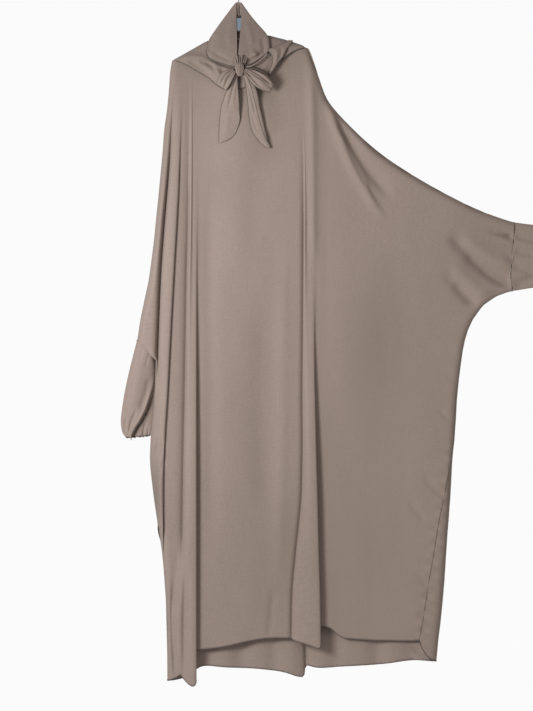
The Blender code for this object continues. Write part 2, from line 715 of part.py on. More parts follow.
# The cowl: the slack band round the neck between hood and front panel. Columns: upper edge (x, z),
# lower edge (x, z), depth of the upper edge, depth of the lower edge
LEFT_COWL = (
    ((-149, -188.8), (-146, -192), 7.5, 12),
    ((-136, -181.2), (-131, -195), 2, 15),
    ((-116, -169.8), (-108, -208), 0.2, 18),
    ((-94, -157.3), (-84, -223), 0.2, 21),
    ((-80, -149.3), (-70, -231), 0.2, 23),
    ((-70, -143.6), (-62, -237), 0.2, 25),
    ((-66, -152), (-56, -244), 8.5, 26.5),
    ((-56, -163), (-46, -252), 12.5, 28),
    ((-38, -178), (-28, -263), 18, 31),
    ((-16, -190), (-12, -266), 25, 32),
    ((0.5, -196), (2, -264), 28, 32),
)
RIGHT_COWL = (
    ((6, -196), (7, -263), 28, 32),
    ((20, -190), (24, -259), 25, 32),
    ((38, -180), (46, -248), 19, 31),
    ((56, -166), (64, -235), 12.5, 28),
    ((66, -146), (72, -226), 9.5, 26.5),
    ((70, -131.2), (78, -219), 0.2, 25),
    ((80, -133.6), (87, -208), 0.2, 23),
    ((94, -137.2), (99, -194), 0.2, 21),
    ((112, -143), (117, -178), 0.2, 18),
    ((132, -150.5), (137, -167), 1, 15),
    ((149, -158.5), (150, -162), 7.5, 12),
)
COWL_ROWS = 9
COWL_CURL = 7.0


def cowl(table, rows=COWL_ROWS, fine=1):
    """A slack band whose lower edge is turned under."""
    net = []
    for upper, lower, top_out, low_out in table:
        upper = np.array(upper, float)
        lower = np.array(lower, float)
        length = np.hypot(*(lower - upper))
        part = np.linspace(0, 1, rows) ** 2
        place = upper + part[:, None] * (lower - upper)
        clear = np.clip(length / 30, 0.1, 1)
        over_arm = min(8.0, low_out - top_out) * edge_rise(part * length, 8.0)
        out = top_out + over_arm + (low_out - top_out - over_arm[-1]) * np.sin(math.pi / 2 * part)
        out += 2 * clear * np.sin(math.pi * part)
        curl = np.minimum(COWL_CURL, length * 0.3)
        back = (upper - lower) / max(length, 1e-6)
        under = np.array([lower + back * curl * 0.1, lower + back * curl * 0.5, lower + back * curl])
        under_out = low_out - np.array([1.6, 2.6, 2.8]) * clear
        flat = np.concatenate([place, under])
        depth = np.concatenate([out, under_out])
        net.append(np.stack([flat[:, 0], -depth, flat[:, 1]], axis=-1))
    return np.stack(smooth_across(np.array(net), fine), axis=0)


# Loose pieces cut as leaves. Columns: height, left edge, right edge, depth at the left and at the
# right, and how much of the width is folded back over the front at the right
NECK_FOLD = (
    (-147, 115, 122, 11.3, 10.7, 0),
    (-153, 102, 121, 18.8, 16.4, 0),
    (-160, 86, 118, 24.5, 19.8, 0),
    (-167, 71, 114, 29.4, 22.5, 0),
    (-174, 77, 110, 29.6, 24.5, 0),
    (-184, 82, 105, 30, 26, 0),
    (-198, 82, 94, 30.5, 28, 0),
    (-212, 77, 85, 30, 29, 0),
    (-224, 73, 76.5, 29, 29, 0),
)
LEFT_TAIL = (
    (-220.2, -6.4, 0.5, 45, 43.4, 0),
    (-228, -11, 0, 45, 45.5, 0),
    (-238, -15, 0, 44, 46, 0.2),
    (-251, -20, 1, 41, 44, 0.25),
    (-270, -28, 2.5, 38, 42, 0.2),
    (-301, -38, 4.8, 35, 38, 0.12),
    (-328, -41.8, 4, 33, 35, 0),
    (-352, -43.2, -1.5, 32, 33, 0),
    (-368, -43.8, -9.5, 32, 33, 0),
    (-378, -44, -21, 32, 33, 0),
    (-385, -44, -38, 32, 32, 0),
)
RIGHT_TAIL = (
    (-220.6, 7.6, 14.8, 43.9, 44.7, 0),
    (-229, 13.5, 24, 44, 45.5, 0),
    (-240, 17, 33, 42, 45, 0.5),
    (-262, 21, 45.5, 38, 43, 0.5),
    (-298, 25, 52, 34, 39, 0.35),
    (-325, 27, 58, 32, 37, 0.28),
    (-345, 30.5, 62.5, 32, 36, 0.24),
    (-362, 37, 66, 32, 36, 0.2),
    (-378, 48, 69.5, 32, 35, 0.15),
    (-390, 60, 73, 32, 34, 0),
    (-398, 72, 76, 32, 33, 0),
)
LEAF_COLUMNS = (0.0, 0.2, 0.42, 0.62, 0.8, 0.93)


def leaf(table, fine=1):
    """A leaf of cloth read from its sections, folded over its right side where the table says."""
    net = []
    for height, left, right, left_out, right_out, folded in table:
        width = right - left
        row = []
        for part in LEAF_COLUMNS:
            puff = 1.5 * math.sin(math.pi * part)
            row.append((left + width * part, left_out + (right_out - left_out) * part * 0.6 + puff, height))
        turn = max(folded, 0.0)
        step = 1.0 if turn == 0 else 3.2
        front = right_out + (2.0 if turn else 0.0)
        row.append((right, right_out * 0.4 + left_out * 0.4 + front * 0.2, height))
        row.append((right - width * turn * 0.1, front - step * 0.2, height + 0.4))
        row.append((right - width * turn * 0.55, front + step * 0.25, height + 0.8) if turn else
                   (right + 0.6, front - step * 0.1, height + 0.4))
        row.append((right - width * turn, front + step * 0.3, height + 1.2) if turn else
                   (right + 1.2, front - step * 0.1, height + 0.6))
        net.append([(x, -out, z) for x, out, z in row])
    return smooth_across(np.array(net, float), fine)


# The bow's loops. Columns: middle of the band (x, z), half width, how far out it stands
RIGHT_LOOP = (
    ((16.4, -216), 5, 51), ((29, -224), 11, 55), ((44, -236), 17, 59), ((60, -245), 17, 58),
    ((74, -252), 13, 54), ((83, -255), 9.5, 49), ((84, -253), 8.5, 44), ((76, -245), 11, 41),
    ((60, -232), 14, 40), ((42, -222), 12, 41), ((27, -216), 8, 43), ((16.4, -213), 5, 45),
)
LEFT_LOOP = (
    ((-9.2, -216), 5, 51), ((-16, -223), 8, 55), ((-24, -233), 12, 56), ((-32, -243), 13, 54),
    ((-38, -250), 11, 50), ((-42, -254), 8, 46), ((-41, -252), 7.5, 42), ((-35, -244), 9, 40),
    ((-27, -234), 10, 40), ((-18, -224), 8, 41), ((-13, -218), 6, 43), ((-9.2, -214), 4.5, 45),
)
LOOP_ACROSS = (-1.0, -0.6, -0.2, 0.2, 0.6, 1.0)


def loop(table, slope, fine=1):
    """A band bent into a loop. slope is the direction across the band, in degrees from X."""
    across = np.array([math.cos(math.radians(slope)), math.sin(math.radians(slope))])
    net = []
    for place in LOOP_ACROSS:
        row = []
        for (x, z), half_width, out in table:
            flat = np.array([x, z]) + across * half_width * place
            row.append((flat[0], -out - 1.5 * (1 - place * place), flat[1]))
        net.append(row)
    return smooth_across(np.array(net, float), fine)


KNOT_MIDDLE = (4.2, -51.0, -213.0)
KNOT_RADII = (11.5, 7.5, 12.0)
GATHER_MIDDLE = (6.5, -40.0, -193.0)
GATHER_SIZE = (31.0, 19.0)
GATHER_WAVES = 5
HOOK_WIRE = 1.7
HOOK_RADIUS = 19.0
ARM_RADIUS = 4.2
HOOK_FOOT = -112.3


def knot(material):
    """A round wrap of the tie, pinched in a few soft ridges."""
    sides = 16
    rings = 10
    points = []
    for ring in range(1, rings):
        tilt = math.pi * ring / rings
        for side in range(sides):
            turn = 2 * math.pi * side / sides
            ridge = 1 + 0.06 * math.sin(3 * turn + 2 * tilt)
            points.append((
                KNOT_MIDDLE[0] + KNOT_RADII[0] * math.sin(tilt) * math.cos(turn) * ridge,
                KNOT_MIDDLE[1] + KNOT_RADII[1] * math.sin(tilt) * math.sin(turn) * ridge,
                KNOT_MIDDLE[2] + KNOT_RADII[2] * math.cos(tilt),
            ))
    top = len(points)
    points.append((KNOT_MIDDLE[0], KNOT_MIDDLE[1], KNOT_MIDDLE[2] + KNOT_RADII[2]))
    points.append((KNOT_MIDDLE[0], KNOT_MIDDLE[1], KNOT_MIDDLE[2] - KNOT_RADII[2]))
    faces = []
    for ring in range(rings - 2):
        for side in range(sides):
            a = ring * sides + side
            b = ring * sides + (side + 1) % sides
            faces.append((a, b, b + sides, a + sides))
    last = (rings - 2) * sides
    for side in range(sides):
        faces.append((top, (side + 1) % sides, side))
        faces.append((top + 1, last + side, last + (side + 1) % sides))
    add_object("tie_knot", mesh_of("tie_knot", np.array(points) * MM, faces), material)


def gathers():
    """The ruffle above the knot, where the tie draws the hood's edges together."""
    columns = GATHER_WAVES * 4 + 1
    rows = 4
    points = np.zeros((rows, columns, 3))
    for row in range(rows):
        down = row / (rows - 1)
        for column in range(columns):
            part = column / (columns - 1)
            wave = math.sin(2 * math.pi * part * GATHER_WAVES)
            narrow = 1 - 0.45 * down
            points[row, column] = (
                GATHER_MIDDLE[0] + (part - 0.5) * GATHER_SIZE[0] * narrow,
                GATHER_MIDDLE[1] - 2.2 * wave - 3.9 * down,
                GATHER_MIDDLE[2] + (0.5 - down) * GATHER_SIZE[1] + 1.5 * wave * (1 - down),
            )
    return points


def hook_path():
    """The hanger's wire from its neck up the stem and round the hook."""
    middle = (0.0, -HOOK_RADIUS)
    path = [(1.4, 0.0, HOOK_FOOT), (1.0, 0.0, -95.0), (0.6, 0.0, -75.0), (0.2, 0.0, -58.0)]
    for step in range(15):
        turn = math.radians(-75 + step * 19)
        path.append((
            middle[0] + (HOOK_RADIUS + HOOK_WIRE) * math.cos(turn),
            0.0,
            middle[1] + (HOOK_RADIUS + HOOK_WIRE) * math.sin(turn),
        ))
    return path


# The hanger's arms, just under the shoulders: distance from the middle, height
ARM_LINE = (
    (-146, -193.2), (-120, -179.5), (-92, -164), (-67, -153), (-36, -134), (-14, -121.5),
    (2, -117), (20, -122), (40, -129.5), (60, -138), (70, -142), (97, -147.5), (122, -153.5),
    (139, -160), (152, -166.5),
)
TIE_BAND = (
    (19, -207, 45), (30, -206, 43.5), (42, -200.5, 41), (54, -192, 38.5), (64, -183, 36.5),
    (70, -177, 35.5),
)
TIE_BAND_RADIUS = 1.3
LABEL_HALF_WIDTH = 9.0
LABEL_HEIGHTS = (-91.0, -121.0)
LABEL_WALL = 0.8


def label():
    """A blank woven label just behind the hood's slit."""
    heights = np.linspace(*LABEL_HEIGHTS, 4)
    table = np.array(HOOD_SECTIONS, float)
    depth = smooth_through(list(zip(table[:, 0], table[:, 5])), heights)
    out = depth - WALL / 2 - LABEL_WALL / 2 - 0.5
    middle = 3.0
    points = [
        [(middle + LABEL_HALF_WIDTH * part, -one, height) for part in (-1, 0, 1)]
        for height, one in zip(heights, out)
    ]
    return np.array(points, float)


def material(name, colour, roughness, metallic=0.0):
    finish = bpy.data.materials.new(name)
    finish.use_nodes = True
    shader = finish.node_tree.nodes["Principled BSDF"]
    shader.inputs["Base Color"].default_value = (*colour, 1)
    shader.inputs["Roughness"].default_value = roughness
    shader.inputs["Metallic"].default_value = metallic
    return finish


def main():
    for thing in list(bpy.data.objects):
        bpy.data.objects.remove(thing)
    crepe = material("crepe", (0.30, 0.25, 0.22), 0.85)
    label_cloth = material("label_cloth", (0.25, 0.32, 0.39), 0.7)
    steel = material("hook_wire", (0.6, 0.6, 0.6), 0.3, 1.0)
    arms = material("hanger_arms", (0.03, 0.03, 0.03), 0.5)

    front = front_panel(np.array(ROW_DROPS, float))
    cloth("body_front", front, crepe, wall=FRONT_WALL, side=-1)
    back, behind_seam = back_panel(np.array(ROW_DROPS, float))
    cloth("body_back", back, crepe, side=behind_seam)
    left_seam = (LEFT_SLEEVE[0][0], LEFT_SLEEVE[0][1])
    cloth("sleeve_end_left", sleeve_tube(LEFT_SLEEVE, left_seam), crepe, ring=True)
    cuff_seam = heights_first(CUFF_SEAM)
    cloth("sleeve_end_right", sleeve_tube(RIGHT_SLEEVE, cuff_seam), crepe, ring=True)
    cloth("hood_left", hood_half("left"), crepe)
    cloth("hood_right", hood_half("right"), crepe)
    cloth("cowl_left", cowl(LEFT_COWL), crepe, side=-1)
    cloth("cowl_right", cowl(RIGHT_COWL), crepe, side=-1)
    cloth("cowl_fold_right", leaf(NECK_FOLD), crepe)
    cloth("tie_tail_left", leaf(LEFT_TAIL), crepe)
    cloth("tie_tail_right", leaf(RIGHT_TAIL), crepe)
    cloth("tie_loop_left", loop(LEFT_LOOP, 128), crepe)
    cloth("tie_loop_right", loop(RIGHT_LOOP, 62), crepe)
    cloth("tie_gathers", gathers(), crepe)
    knot(crepe)
    cloth("label", label(), label_cloth, wall=LABEL_WALL)
    band = [(x, -out, z) for x, z, out in TIE_BAND]
    tube("tie_band_right", band, TIE_BAND_RADIUS, 8, crepe)
    tube("hanger_hook", hook_path(), HOOK_WIRE, 8, steel)
    tube("hanger_arms", [(x, 0.0, z) for x, z in ARM_LINE], ARM_RADIUS, 12, arms)


main()
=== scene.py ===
"""The cloth, sewing, finishes and light of a hooded batwing jilbab on a clothes hanger.

Sizes are in millimetres, and MM turns them into metres. X runs to the viewer's right, Y away
from the viewer and Z up. The origin is the inside top of the hanger's hook.
"""

import math

import bmesh
import bpy
import numpy as np
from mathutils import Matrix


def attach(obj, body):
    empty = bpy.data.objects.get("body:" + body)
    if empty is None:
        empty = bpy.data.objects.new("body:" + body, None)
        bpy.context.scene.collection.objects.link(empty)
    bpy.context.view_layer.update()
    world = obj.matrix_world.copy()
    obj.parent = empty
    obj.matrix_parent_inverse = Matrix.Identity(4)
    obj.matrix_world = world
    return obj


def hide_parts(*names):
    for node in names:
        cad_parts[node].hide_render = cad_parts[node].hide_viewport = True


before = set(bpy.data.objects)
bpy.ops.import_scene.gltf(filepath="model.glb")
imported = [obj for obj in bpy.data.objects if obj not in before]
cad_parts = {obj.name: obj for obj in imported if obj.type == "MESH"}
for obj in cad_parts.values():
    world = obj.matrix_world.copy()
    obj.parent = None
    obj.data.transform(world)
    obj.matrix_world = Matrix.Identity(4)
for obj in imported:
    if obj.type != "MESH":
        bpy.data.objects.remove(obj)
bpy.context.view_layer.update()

MM = 0.001
FULL_TURN = 2 * math.pi
# The cloth's thickness, the gap between front and back at their seams, and how far the soft edge
# of a panel reaches in from its outline
WALL = 0.8
SEAM_GAP = 0.4
EDGE_REACH = 15

# Camera, light and floor, in metres

CAMERA_DISTANCE = 14
VIEW_MIDDLE = (0.068, -0.885)
VIEW_HEIGHT = 1.671
VIEW_PLANE = -0.022
SENSOR_HEIGHT = 24
FLOOR_PLACE = (0.15, 0, -1.95)
FLOOR_RADIUS = 2.4
FLOOR_FADE = (0.9, 2.3)
FLOOR_COLOUR = (0.93, 0.93, 0.93, 1)
# Each light: name, place, what it looks at, width, watts, colour, angle it spreads over
LIGHTS = (
    ("window", (-1.6, -2.1, -0.6), (0.1, 0.0, -0.72), 0.9, 25, (0.955, 0.985, 1.0), 100),
    ("back_fill", (1.4, 2.4, 0.2), (0.1, 0.0, -0.8), 1.6, 30, (1.0, 1.0, 1.0), 180),
)
ROOM_LIGHT = {"Color": (1.0, 0.975, 0.955, 1), "Strength": 0.43}
BACKDROP = {"Color": (1, 1, 1, 1), "Strength": 0.965}


def add_object(name, data, place=(0, 0, 0)):
    thing = bpy.data.objects.new(name, data)
    thing.location = place
    bpy.context.scene.collection.objects.link(thing)
    return thing


def set_camera():
    data = bpy.data.cameras.new("camera")
    data.sensor_fit = "VERTICAL"
    data.sensor_height = SENSOR_HEIGHT
    data.lens = SENSOR_HEIGHT * (CAMERA_DISTANCE + VIEW_PLANE) / VIEW_HEIGHT
    camera = add_object("camera", data, (VIEW_MIDDLE[0], -CAMERA_DISTANCE, VIEW_MIDDLE[1]))
    camera.rotation_euler = (math.pi / 2, 0, 0)
    bpy.context.scene.camera = camera


def set_light():
    for name, place, aim, size, watts, colour, spread in LIGHTS:
        data = bpy.data.lights.new(name, "AREA")
        data.shape = "DISK"
        data.spread = math.radians(spread)
        data.size = size
        data.energy = watts
        data.color = colour
        run = np.array(aim) - np.array(place)
        tilt = math.atan2(math.hypot(run[0], run[1]), -run[2])
        turn = math.atan2(run[1], run[0]) - math.pi / 2
        add_object(name, data, place).rotation_euler = (tilt, 0, turn)
    world = bpy.data.worlds.new("studio")
    world.use_nodes = True
    bpy.context.scene.world = world
    tree = world.node_tree
    tree.nodes.clear()
    lit = add_node(tree, "Background", ROOM_LIGHT).outputs["Background"]
    seen = add_node(tree, "Background", BACKDROP).outputs["Background"]
    direct = add_node(tree, "LightPath").outputs["Is Camera Ray"]
    mix = add_node(tree, "MixShader", {"Fac": direct, 1: lit, 2: seen})
    add_node(tree, "OutputWorld", {"Surface": mix.outputs["Shader"]})
    bpy.context.scene.view_settings.view_transform = "Standard"


def lay_floor():
    mesh = bpy.data.meshes.new("floor")
    shape = bmesh.new()
    bmesh.ops.create_circle(shape, cap_ends=True, segments=64, radius=FLOOR_RADIUS)
    shape.to_mesh(mesh)
    shape.free()
    mesh.materials.append(floor_finish())
    add_object("floor", mesh, FLOOR_PLACE)


# Finishes

CREPE = ((0.238, 0.180, 0.152), (0.288, 0.222, 0.189))
# Threads for each metre of the cloth, and the scales of its streaky yarn and its grain
CREPE_THREADS = 900.0
LABEL_THREADS = 2600.0
YARN_SCALE = 430.0
GRAIN_SCALE = 260.0
THREADS = {
    # Overlock thread, so dark that it also paints the shadow line along the hems and cuffs
    "overlock_and_edge_shadow_thread": (0.070, 0.048, 0.040),
    "seam_thread": (0.26, 0.21, 0.18),
    "pale_thread": (0.36, 0.32, 0.28),
    # Rolled edges whose dark colour also paints the shadow lines along the cloth's edges and gaps
    "rolled_edge_and_shadow_line_thread": (0.085, 0.062, 0.050),
}
# The label's blue-grey, darkened to paint the shade it lies in behind the slit
LABEL_CLOTH_WITH_PAINTED_SHADE = (0.19, 0.235, 0.275)
# Near black: the label's borders also paint the shadow lines above and below it
LABEL_BORDER_AND_SHADOW = (0.018, 0.018, 0.02)
# How the crepe's threads shade it: mask, amount, darkest, lightest
CREPE_TINTS = (("Yarn", 0.6, 0.9, 1.1), ("Grain", 0.6, 0.86, 1.12), ("Height", 0.35, 0.85, 1.1))
# Painted shade, darkening the cloth's colour where it lies in shade: place (x, z), half width, half
# height, how much darker
PAINTED_SHADE_CLOUDS = (
    (30, -960, 95, 270, 0.08),
    (10, -130, 230, 90, 0.24),
    (60, -1350, 260, 220, 0.11),
    (352, -840, 95, 185, 0.125),
    (-196, -1205, 17, 95, 0.28),
    (-112, -262, 46, 80, 0.08),
    (300, -1100, 150, 330, 0.06),
    (560, -640, 160, 120, 0.07),
)


def add_node(tree, kind, inputs=None, **settings):
    """A new shader node. inputs gives its sockets a value each, or another node's output."""
    node = tree.nodes.new(f"ShaderNode{kind}")
    for label, value in settings.items():
        setattr(node, label, value)
    for label, value in (inputs or {}).items():
        if isinstance(value, bpy.types.NodeSocket):
            tree.links.new(value, node.inputs[label])
        else:
            node.inputs[label].default_value = value
    return node


def new_group(name, inputs, outputs):
    """An empty shader group: its input sockets with their values, its output sockets' names."""
    group = bpy.data.node_groups.new(name, "ShaderNodeTree")
    for label, value in inputs.items():
        kind = "NodeSocketVector" if isinstance(value, tuple) else "NodeSocketFloat"
        group.interface.new_socket(label, in_out="INPUT", socket_type=kind).default_value = value
    for label in outputs:
        group.interface.new_socket(label, in_out="OUTPUT", socket_type="NodeSocketFloat")
    given = group.nodes.new("NodeGroupInput").outputs
    return group, given, group.nodes.new("NodeGroupOutput").inputs


def place_group(tree, group, inputs):
    return add_node(tree, "Group", inputs, node_tree=group).outputs


def maths(tree, kind, first, second=0.0):
    """A maths node of the given kind between two sockets or numbers."""
    return add_node(tree, "Math", {0: first, 1: second}, operation=kind).outputs["Value"]


def noise(tree, place, scale, detail, roughness=0.5):
    inputs = {"Vector": place, "Scale": scale, "Detail": detail, "Roughness": roughness}
    return add_node(tree, "TexNoise", inputs).outputs["Fac"]


def stretched(tree, place, scale):
    return add_node(tree, "Mapping", {"Vector": place, "Scale": scale}).outputs["Vector"]


def make_crepe_weave():
    """The pebbled threads of crepe: crossed yarns, twisted unevenly."""
    sockets = {"Cloth": (0, 0, 0), "Threads per metre": CREPE_THREADS}
    group, given, gives = new_group("crepe_weave", sockets, ("Height", "Yarn", "Grain"))
    cloth = given["Cloth"]
    threads = given["Threads per metre"]
    split = add_node(group, "SeparateXYZ", {"Vector": cloth}).outputs
    pebble = noise(group, cloth, maths(group, "MULTIPLY", threads, 0.8), 2)
    shift = maths(group, "MULTIPLY", pebble, 5.0)
    turn = maths(group, "MULTIPLY", threads, FULL_TURN)
    waves = []
    for axis in ("X", "Y"):
        angle = maths(group, "ADD", maths(group, "MULTIPLY", split[axis], turn), shift)
        waves.append(maths(group, "SINE", angle))
    crossed = maths(group, "MULTIPLY", maths(group, "MULTIPLY", *waves), 0.35)
    group.links.new(maths(group, "ADD", crossed, pebble), gives["Height"])
    yarns = [
        noise(group, stretched(group, cloth, slimness), YARN_SCALE, 3)
        for slimness in ((1.0, 0.07, 1.0), (0.07, 1.0, 1.0))
    ]
    group.links.new(maths(group, "MULTIPLY", maths(group, "ADD", *yarns), 0.5), gives["Yarn"])
    group.links.new(noise(group, cloth, GRAIN_SCALE, 4, 0.65), gives["Grain"])
    return group


def make_soft_shade():
    """Slow uneven patches, as dye and handling leave on cloth."""
    group, given, gives = new_group("soft_shade", {"Patches per metre": 4.0}, ("Patch", "Rumple"))
    patches = given["Patches per metre"]
    place = stretched(group, add_node(group, "TexCoord").outputs["Object"], (2.2, 1.0, 0.6))
    group.links.new(noise(group, place, patches, 3), gives["Patch"])
    finer = maths(group, "MULTIPLY", patches, 9.0)
    group.links.new(noise(group, place, finer, 4, 0.6), gives["Rumple"])
    return group


def make_painted_shade_clouds():
    """Painted shade: broad soft clouds that darken the hanging cloth's colour where it lies in
    shade, placed in the object's own sizes.
    """
    group, given, gives = new_group("painted_shade_clouds", {"Scale": 1.0}, ("Light",))
    place = add_node(group, "TexCoord").outputs["Object"]
    split = add_node(group, "SeparateXYZ", {"Vector": place}).outputs
    light = 1.0
    for x, z, half_width, half_height, darker in PAINTED_SHADE_CLOUDS:
        squares = []
        for axis, middle, half in (("X", x, half_width), ("Z", z, half_height)):
            off = maths(group, "SUBTRACT", split[axis], middle * MM)
            off = maths(group, "ABSOLUTE", maths(group, "DIVIDE", off, half * MM))
            squares.append(maths(group, "POWER", off, 2.0))
        fall = maths(group, "MULTIPLY", maths(group, "ADD", *squares), -1.0)
        fall = maths(group, "POWER", math.e, fall)
        light = maths(group, "SUBTRACT", light, maths(group, "MULTIPLY", fall, darker))
    group.links.new(maths(group, "MULTIPLY", light, given["Scale"]), gives["Light"])
    return group


def colours_between(tree, mask, dark, light):
    inputs = {"Factor": mask, "A": (*dark, 1), "B": (*light, 1)}
    return add_node(tree, "Mix", inputs, data_type="RGBA").outputs["Result"]


def mapped(tree, value, given, wanted, kind="LINEAR"):
    """The value moved from one range to another."""
    ends = zip(("From Min", "From Max", "To Min", "To Max"), (*given, *wanted))
    inputs = {"Value": value, **dict(ends)}
    return add_node(tree, "MapRange", inputs, interpolation_type=kind).outputs["Result"]


def tint(tree, colour, mask, amount, darkest, lightest, low=0.3, high=0.7):
    """The colour made darker and lighter by a mask, which runs from low to high."""
    band = mapped(tree, mask, (low, high), (darkest, lightest))
    grey = add_node(tree, "CombineColor", {"Red": band, "Green": band, "Blue": band})
    inputs = {"Factor": amount, "A": colour, "B": grey.outputs["Color"]}
    mixed = add_node(tree, "Mix", inputs, data_type="RGBA", blend_type="MULTIPLY")
    return mixed.outputs["Result"]


def new_finish(name, sockets):
    finish = bpy.data.materials.new(name)
    finish.use_nodes = True
    shader = finish.node_tree.nodes["Principled BSDF"].inputs
    for label, value in sockets.items():
        shader[label].default_value = value
    return finish, finish.node_tree, shader


def raise_bump(tree, shader, height, distance, strength, under=None):
    inputs = {"Height": height, "Distance": distance, "Strength": strength}
    if under:
        inputs["Normal"] = under
    bump = add_node(tree, "Bump", inputs).outputs["Normal"]
    tree.links.new(bump, shader["Normal"])
    return bump


def place_weave(tree, weave, threads):
    """The weave's group, laid along the flat cut."""
    cut = add_node(tree, "UVMap", uv_map="cut").outputs["UV"]
    return place_group(tree, weave, {"Cloth": cut, "Threads per metre": threads})


def crepe_finish(name, weave, shade, painted_shade):
    """Matt taupe crepe: pebbled weave, streaky yarn, slow patches, a soft bloom of fibres and broad
    clouds of painted shade.
    """
    sheen = {"Sheen Weight": 0.2, "Sheen Roughness": 0.4, "Specular IOR Level": 0.3}
    finish, tree, shader = new_finish(name, {"Roughness": 0.8, **sheen})
    threads = place_weave(tree, weave, CREPE_THREADS)
    patches = place_group(tree, shade, {"Patches per metre": 4.0})
    colour = colours_between(tree, patches["Patch"], *CREPE)
    for mask, *amounts in CREPE_TINTS:
        colour = tint(tree, colour, threads[mask], *amounts)
    # Painted shade: the clouds darken the colour where the cloth lies in shade
    light = place_group(tree, painted_shade, {"Scale": 1.0})["Light"]
    colour = tint(tree, colour, light, 1.0, 0.0, 1.0, 0.0, 1.0)
    tree.links.new(colour, shader["Base Color"])
    soft = raise_bump(tree, shader, patches["Rumple"], 0.0012, 0.35)
    raise_bump(tree, shader, threads["Height"], 0.00015, 0.6, soft)
    return finish


def label_finish(name, colour, shade, weave):
    """Close-woven satin ribbon, left blank."""
    finish, tree, shader = new_finish(name, {"Roughness": 0.5, "Sheen Weight": 0.2})
    threads = place_weave(tree, weave, LABEL_THREADS)
    patches = place_group(tree, shade, {"Patches per metre": 60.0})
    paint = colours_between(tree, patches["Patch"], [0.82 * part for part in colour], colour)
    tree.links.new(tint(tree, paint, threads["Yarn"], 0.4, 0.85, 1.1), shader["Base Color"])
    raise_bump(tree, shader, threads["Height"], 0.00008, 0.5)
    return finish


def patchy_finish(name, sockets, shade, patches, dark, light, bump, strength):
    """A finish that shifts between two colours in small patches, with a fine bump."""
    finish, tree, shader = new_finish(name, sockets)
    patches = place_group(tree, shade, {"Patches per metre": patches})
    tree.links.new(colours_between(tree, patches["Patch"], dark, light), shader["Base Color"])
    raise_bump(tree, shader, patches["Rumple"], bump, strength)
    return finish, tree, shader, patches["Rumple"]


def thread_finish(name, colour, shade):
    """Twisted sewing thread, a little shinier than the cloth."""
    sockets = {"Roughness": 0.55, "Sheen Weight": 0.2}
    darker = [0.75 * part for part in colour]
    return patchy_finish(name, sockets, shade, 90.0, darker, colour, 0.0002, 0.5)[0]


def wire_finish(shade):
    """Drawn steel wire with fine draw lines and a few dull patches."""
    dull, bright = (0.42, 0.42, 0.43), (0.68, 0.68, 0.69)
    finish, tree, shader, rumple = patchy_finish(
        "hook_wire", {"Roughness": 0.3, "Metallic": 1.0}, shade, 40.0, dull, bright, 0.0001, 0.3
    )
    worn = maths(tree, "ADD", maths(tree, "MULTIPLY", rumple, 0.3), 0.15)
    tree.links.new(worn, shader["Roughness"])
    return finish


def arms_finish(shade):
    """Dark moulded plastic with a fine pebbled skin."""
    dark, light = (0.012, 0.012, 0.013), (0.03, 0.03, 0.032)
    return patchy_finish(
        "hanger_arms", {"Roughness": 0.4}, shade, 150.0, dark, light, 0.0002, 0.4
    )[0]


def floor_finish():
    """A pale floor that fades out round the object, so no edge of it shows."""
    finish, tree, shader = new_finish("pale_floor", {"Roughness": 0.9, "Base Color": FLOOR_COLOUR})
    place = add_node(tree, "TexCoord").outputs["Object"]
    away = add_node(tree, "VectorMath", {0: place}, operation="LENGTH").outputs["Value"]
    fade = mapped(tree, away, FLOOR_FADE, (1, 0), "SMOOTHSTEP")
    tree.links.new(fade, shader["Alpha"])
    return finish


# Curves and sheets

def heights_first(table):
    """A table of (distance, height) turned to (height, distance)."""
    return tuple((row[1], row[0]) for row in table)


def smooth_through(table, at):
    """A curve through the table's points with no overshoot, read at the given places."""
    places, values = np.array(sorted(table), float).T
    gaps = np.diff(places)
    slopes = np.diff(values) / gaps
    tangents = np.zeros(len(places))
    tangents[0] = slopes[0]
    tangents[-1] = slopes[-1]
    for index, (before, after) in enumerate(zip(slopes, slopes[1:]), 1):
        if before * after > 0:
            tangents[index] = 2 * before * after / (before + after)
    at = np.clip(np.asarray(at, float), places[0], places[-1])
    cell = np.clip(np.searchsorted(places, at, side="right") - 1, 0, len(gaps) - 1)
    width = gaps[cell]
    part = (at - places[cell]) / width
    return (
        values[cell] * (1 + 2 * part) * (1 - part) ** 2
        + tangents[cell] * width * part * (1 - part) ** 2
        + values[cell + 1] * part**2 * (3 - 2 * part)
        + tangents[cell + 1] * width * part**2 * (part - 1)
    )


def read_column(table, column, at):
    """A curve through one of a table's columns, read at places in its first column."""
    return smooth_through([(row[0], row[column]) for row in table], at)


def fine_table(table, count):
    """The table's rows read at more places down, with smooth curves through its own rows."""
    table = np.array(table, float)
    index = np.arange(len(table))
    places = np.linspace(0, len(table) - 1, count)
    columns = [smooth_through(list(zip(index, column)), places) for column in table.T]
    return np.stack(columns, axis=-1)


def ease(part):
    """0 to 1 with a soft start and a soft end."""
    part = np.clip(part, 0, 1)
    return part * part * (3 - 2 * part)


def grown_below(height, span):
    """0 above the span's first height and 1 below it by more than the span's length."""
    start, length = span
    return ease((start - height) / length)


def bell(off, width):
    """1 in the middle, fading softly to 0 outside the width."""
    return np.exp(-((off / width) ** 2))


def unit(vectors):
    return vectors / np.maximum(np.linalg.norm(vectors, axis=-1, keepdims=True), 1e-9)


def reach_of(line):
    """The distance along a line to each of its points."""
    steps = np.linalg.norm(np.diff(np.array(line, float), axis=0), axis=1)
    return np.concatenate([[0], np.cumsum(steps)])


def part_of(line):
    """How far along a line each of its points lies, from 0 to 1."""
    reach = reach_of(line)
    return reach / reach[-1]


def read_at(places, reach, points):
    """Points in between, for places among the distances at which the given points lie."""
    columns = np.array(points, float).T
    return np.stack([np.interp(places, reach, column) for column in columns], axis=-1)


def along(line, fractions):
    """Points at the given fractions of a line's length."""
    return read_at(fractions, part_of(line), line)


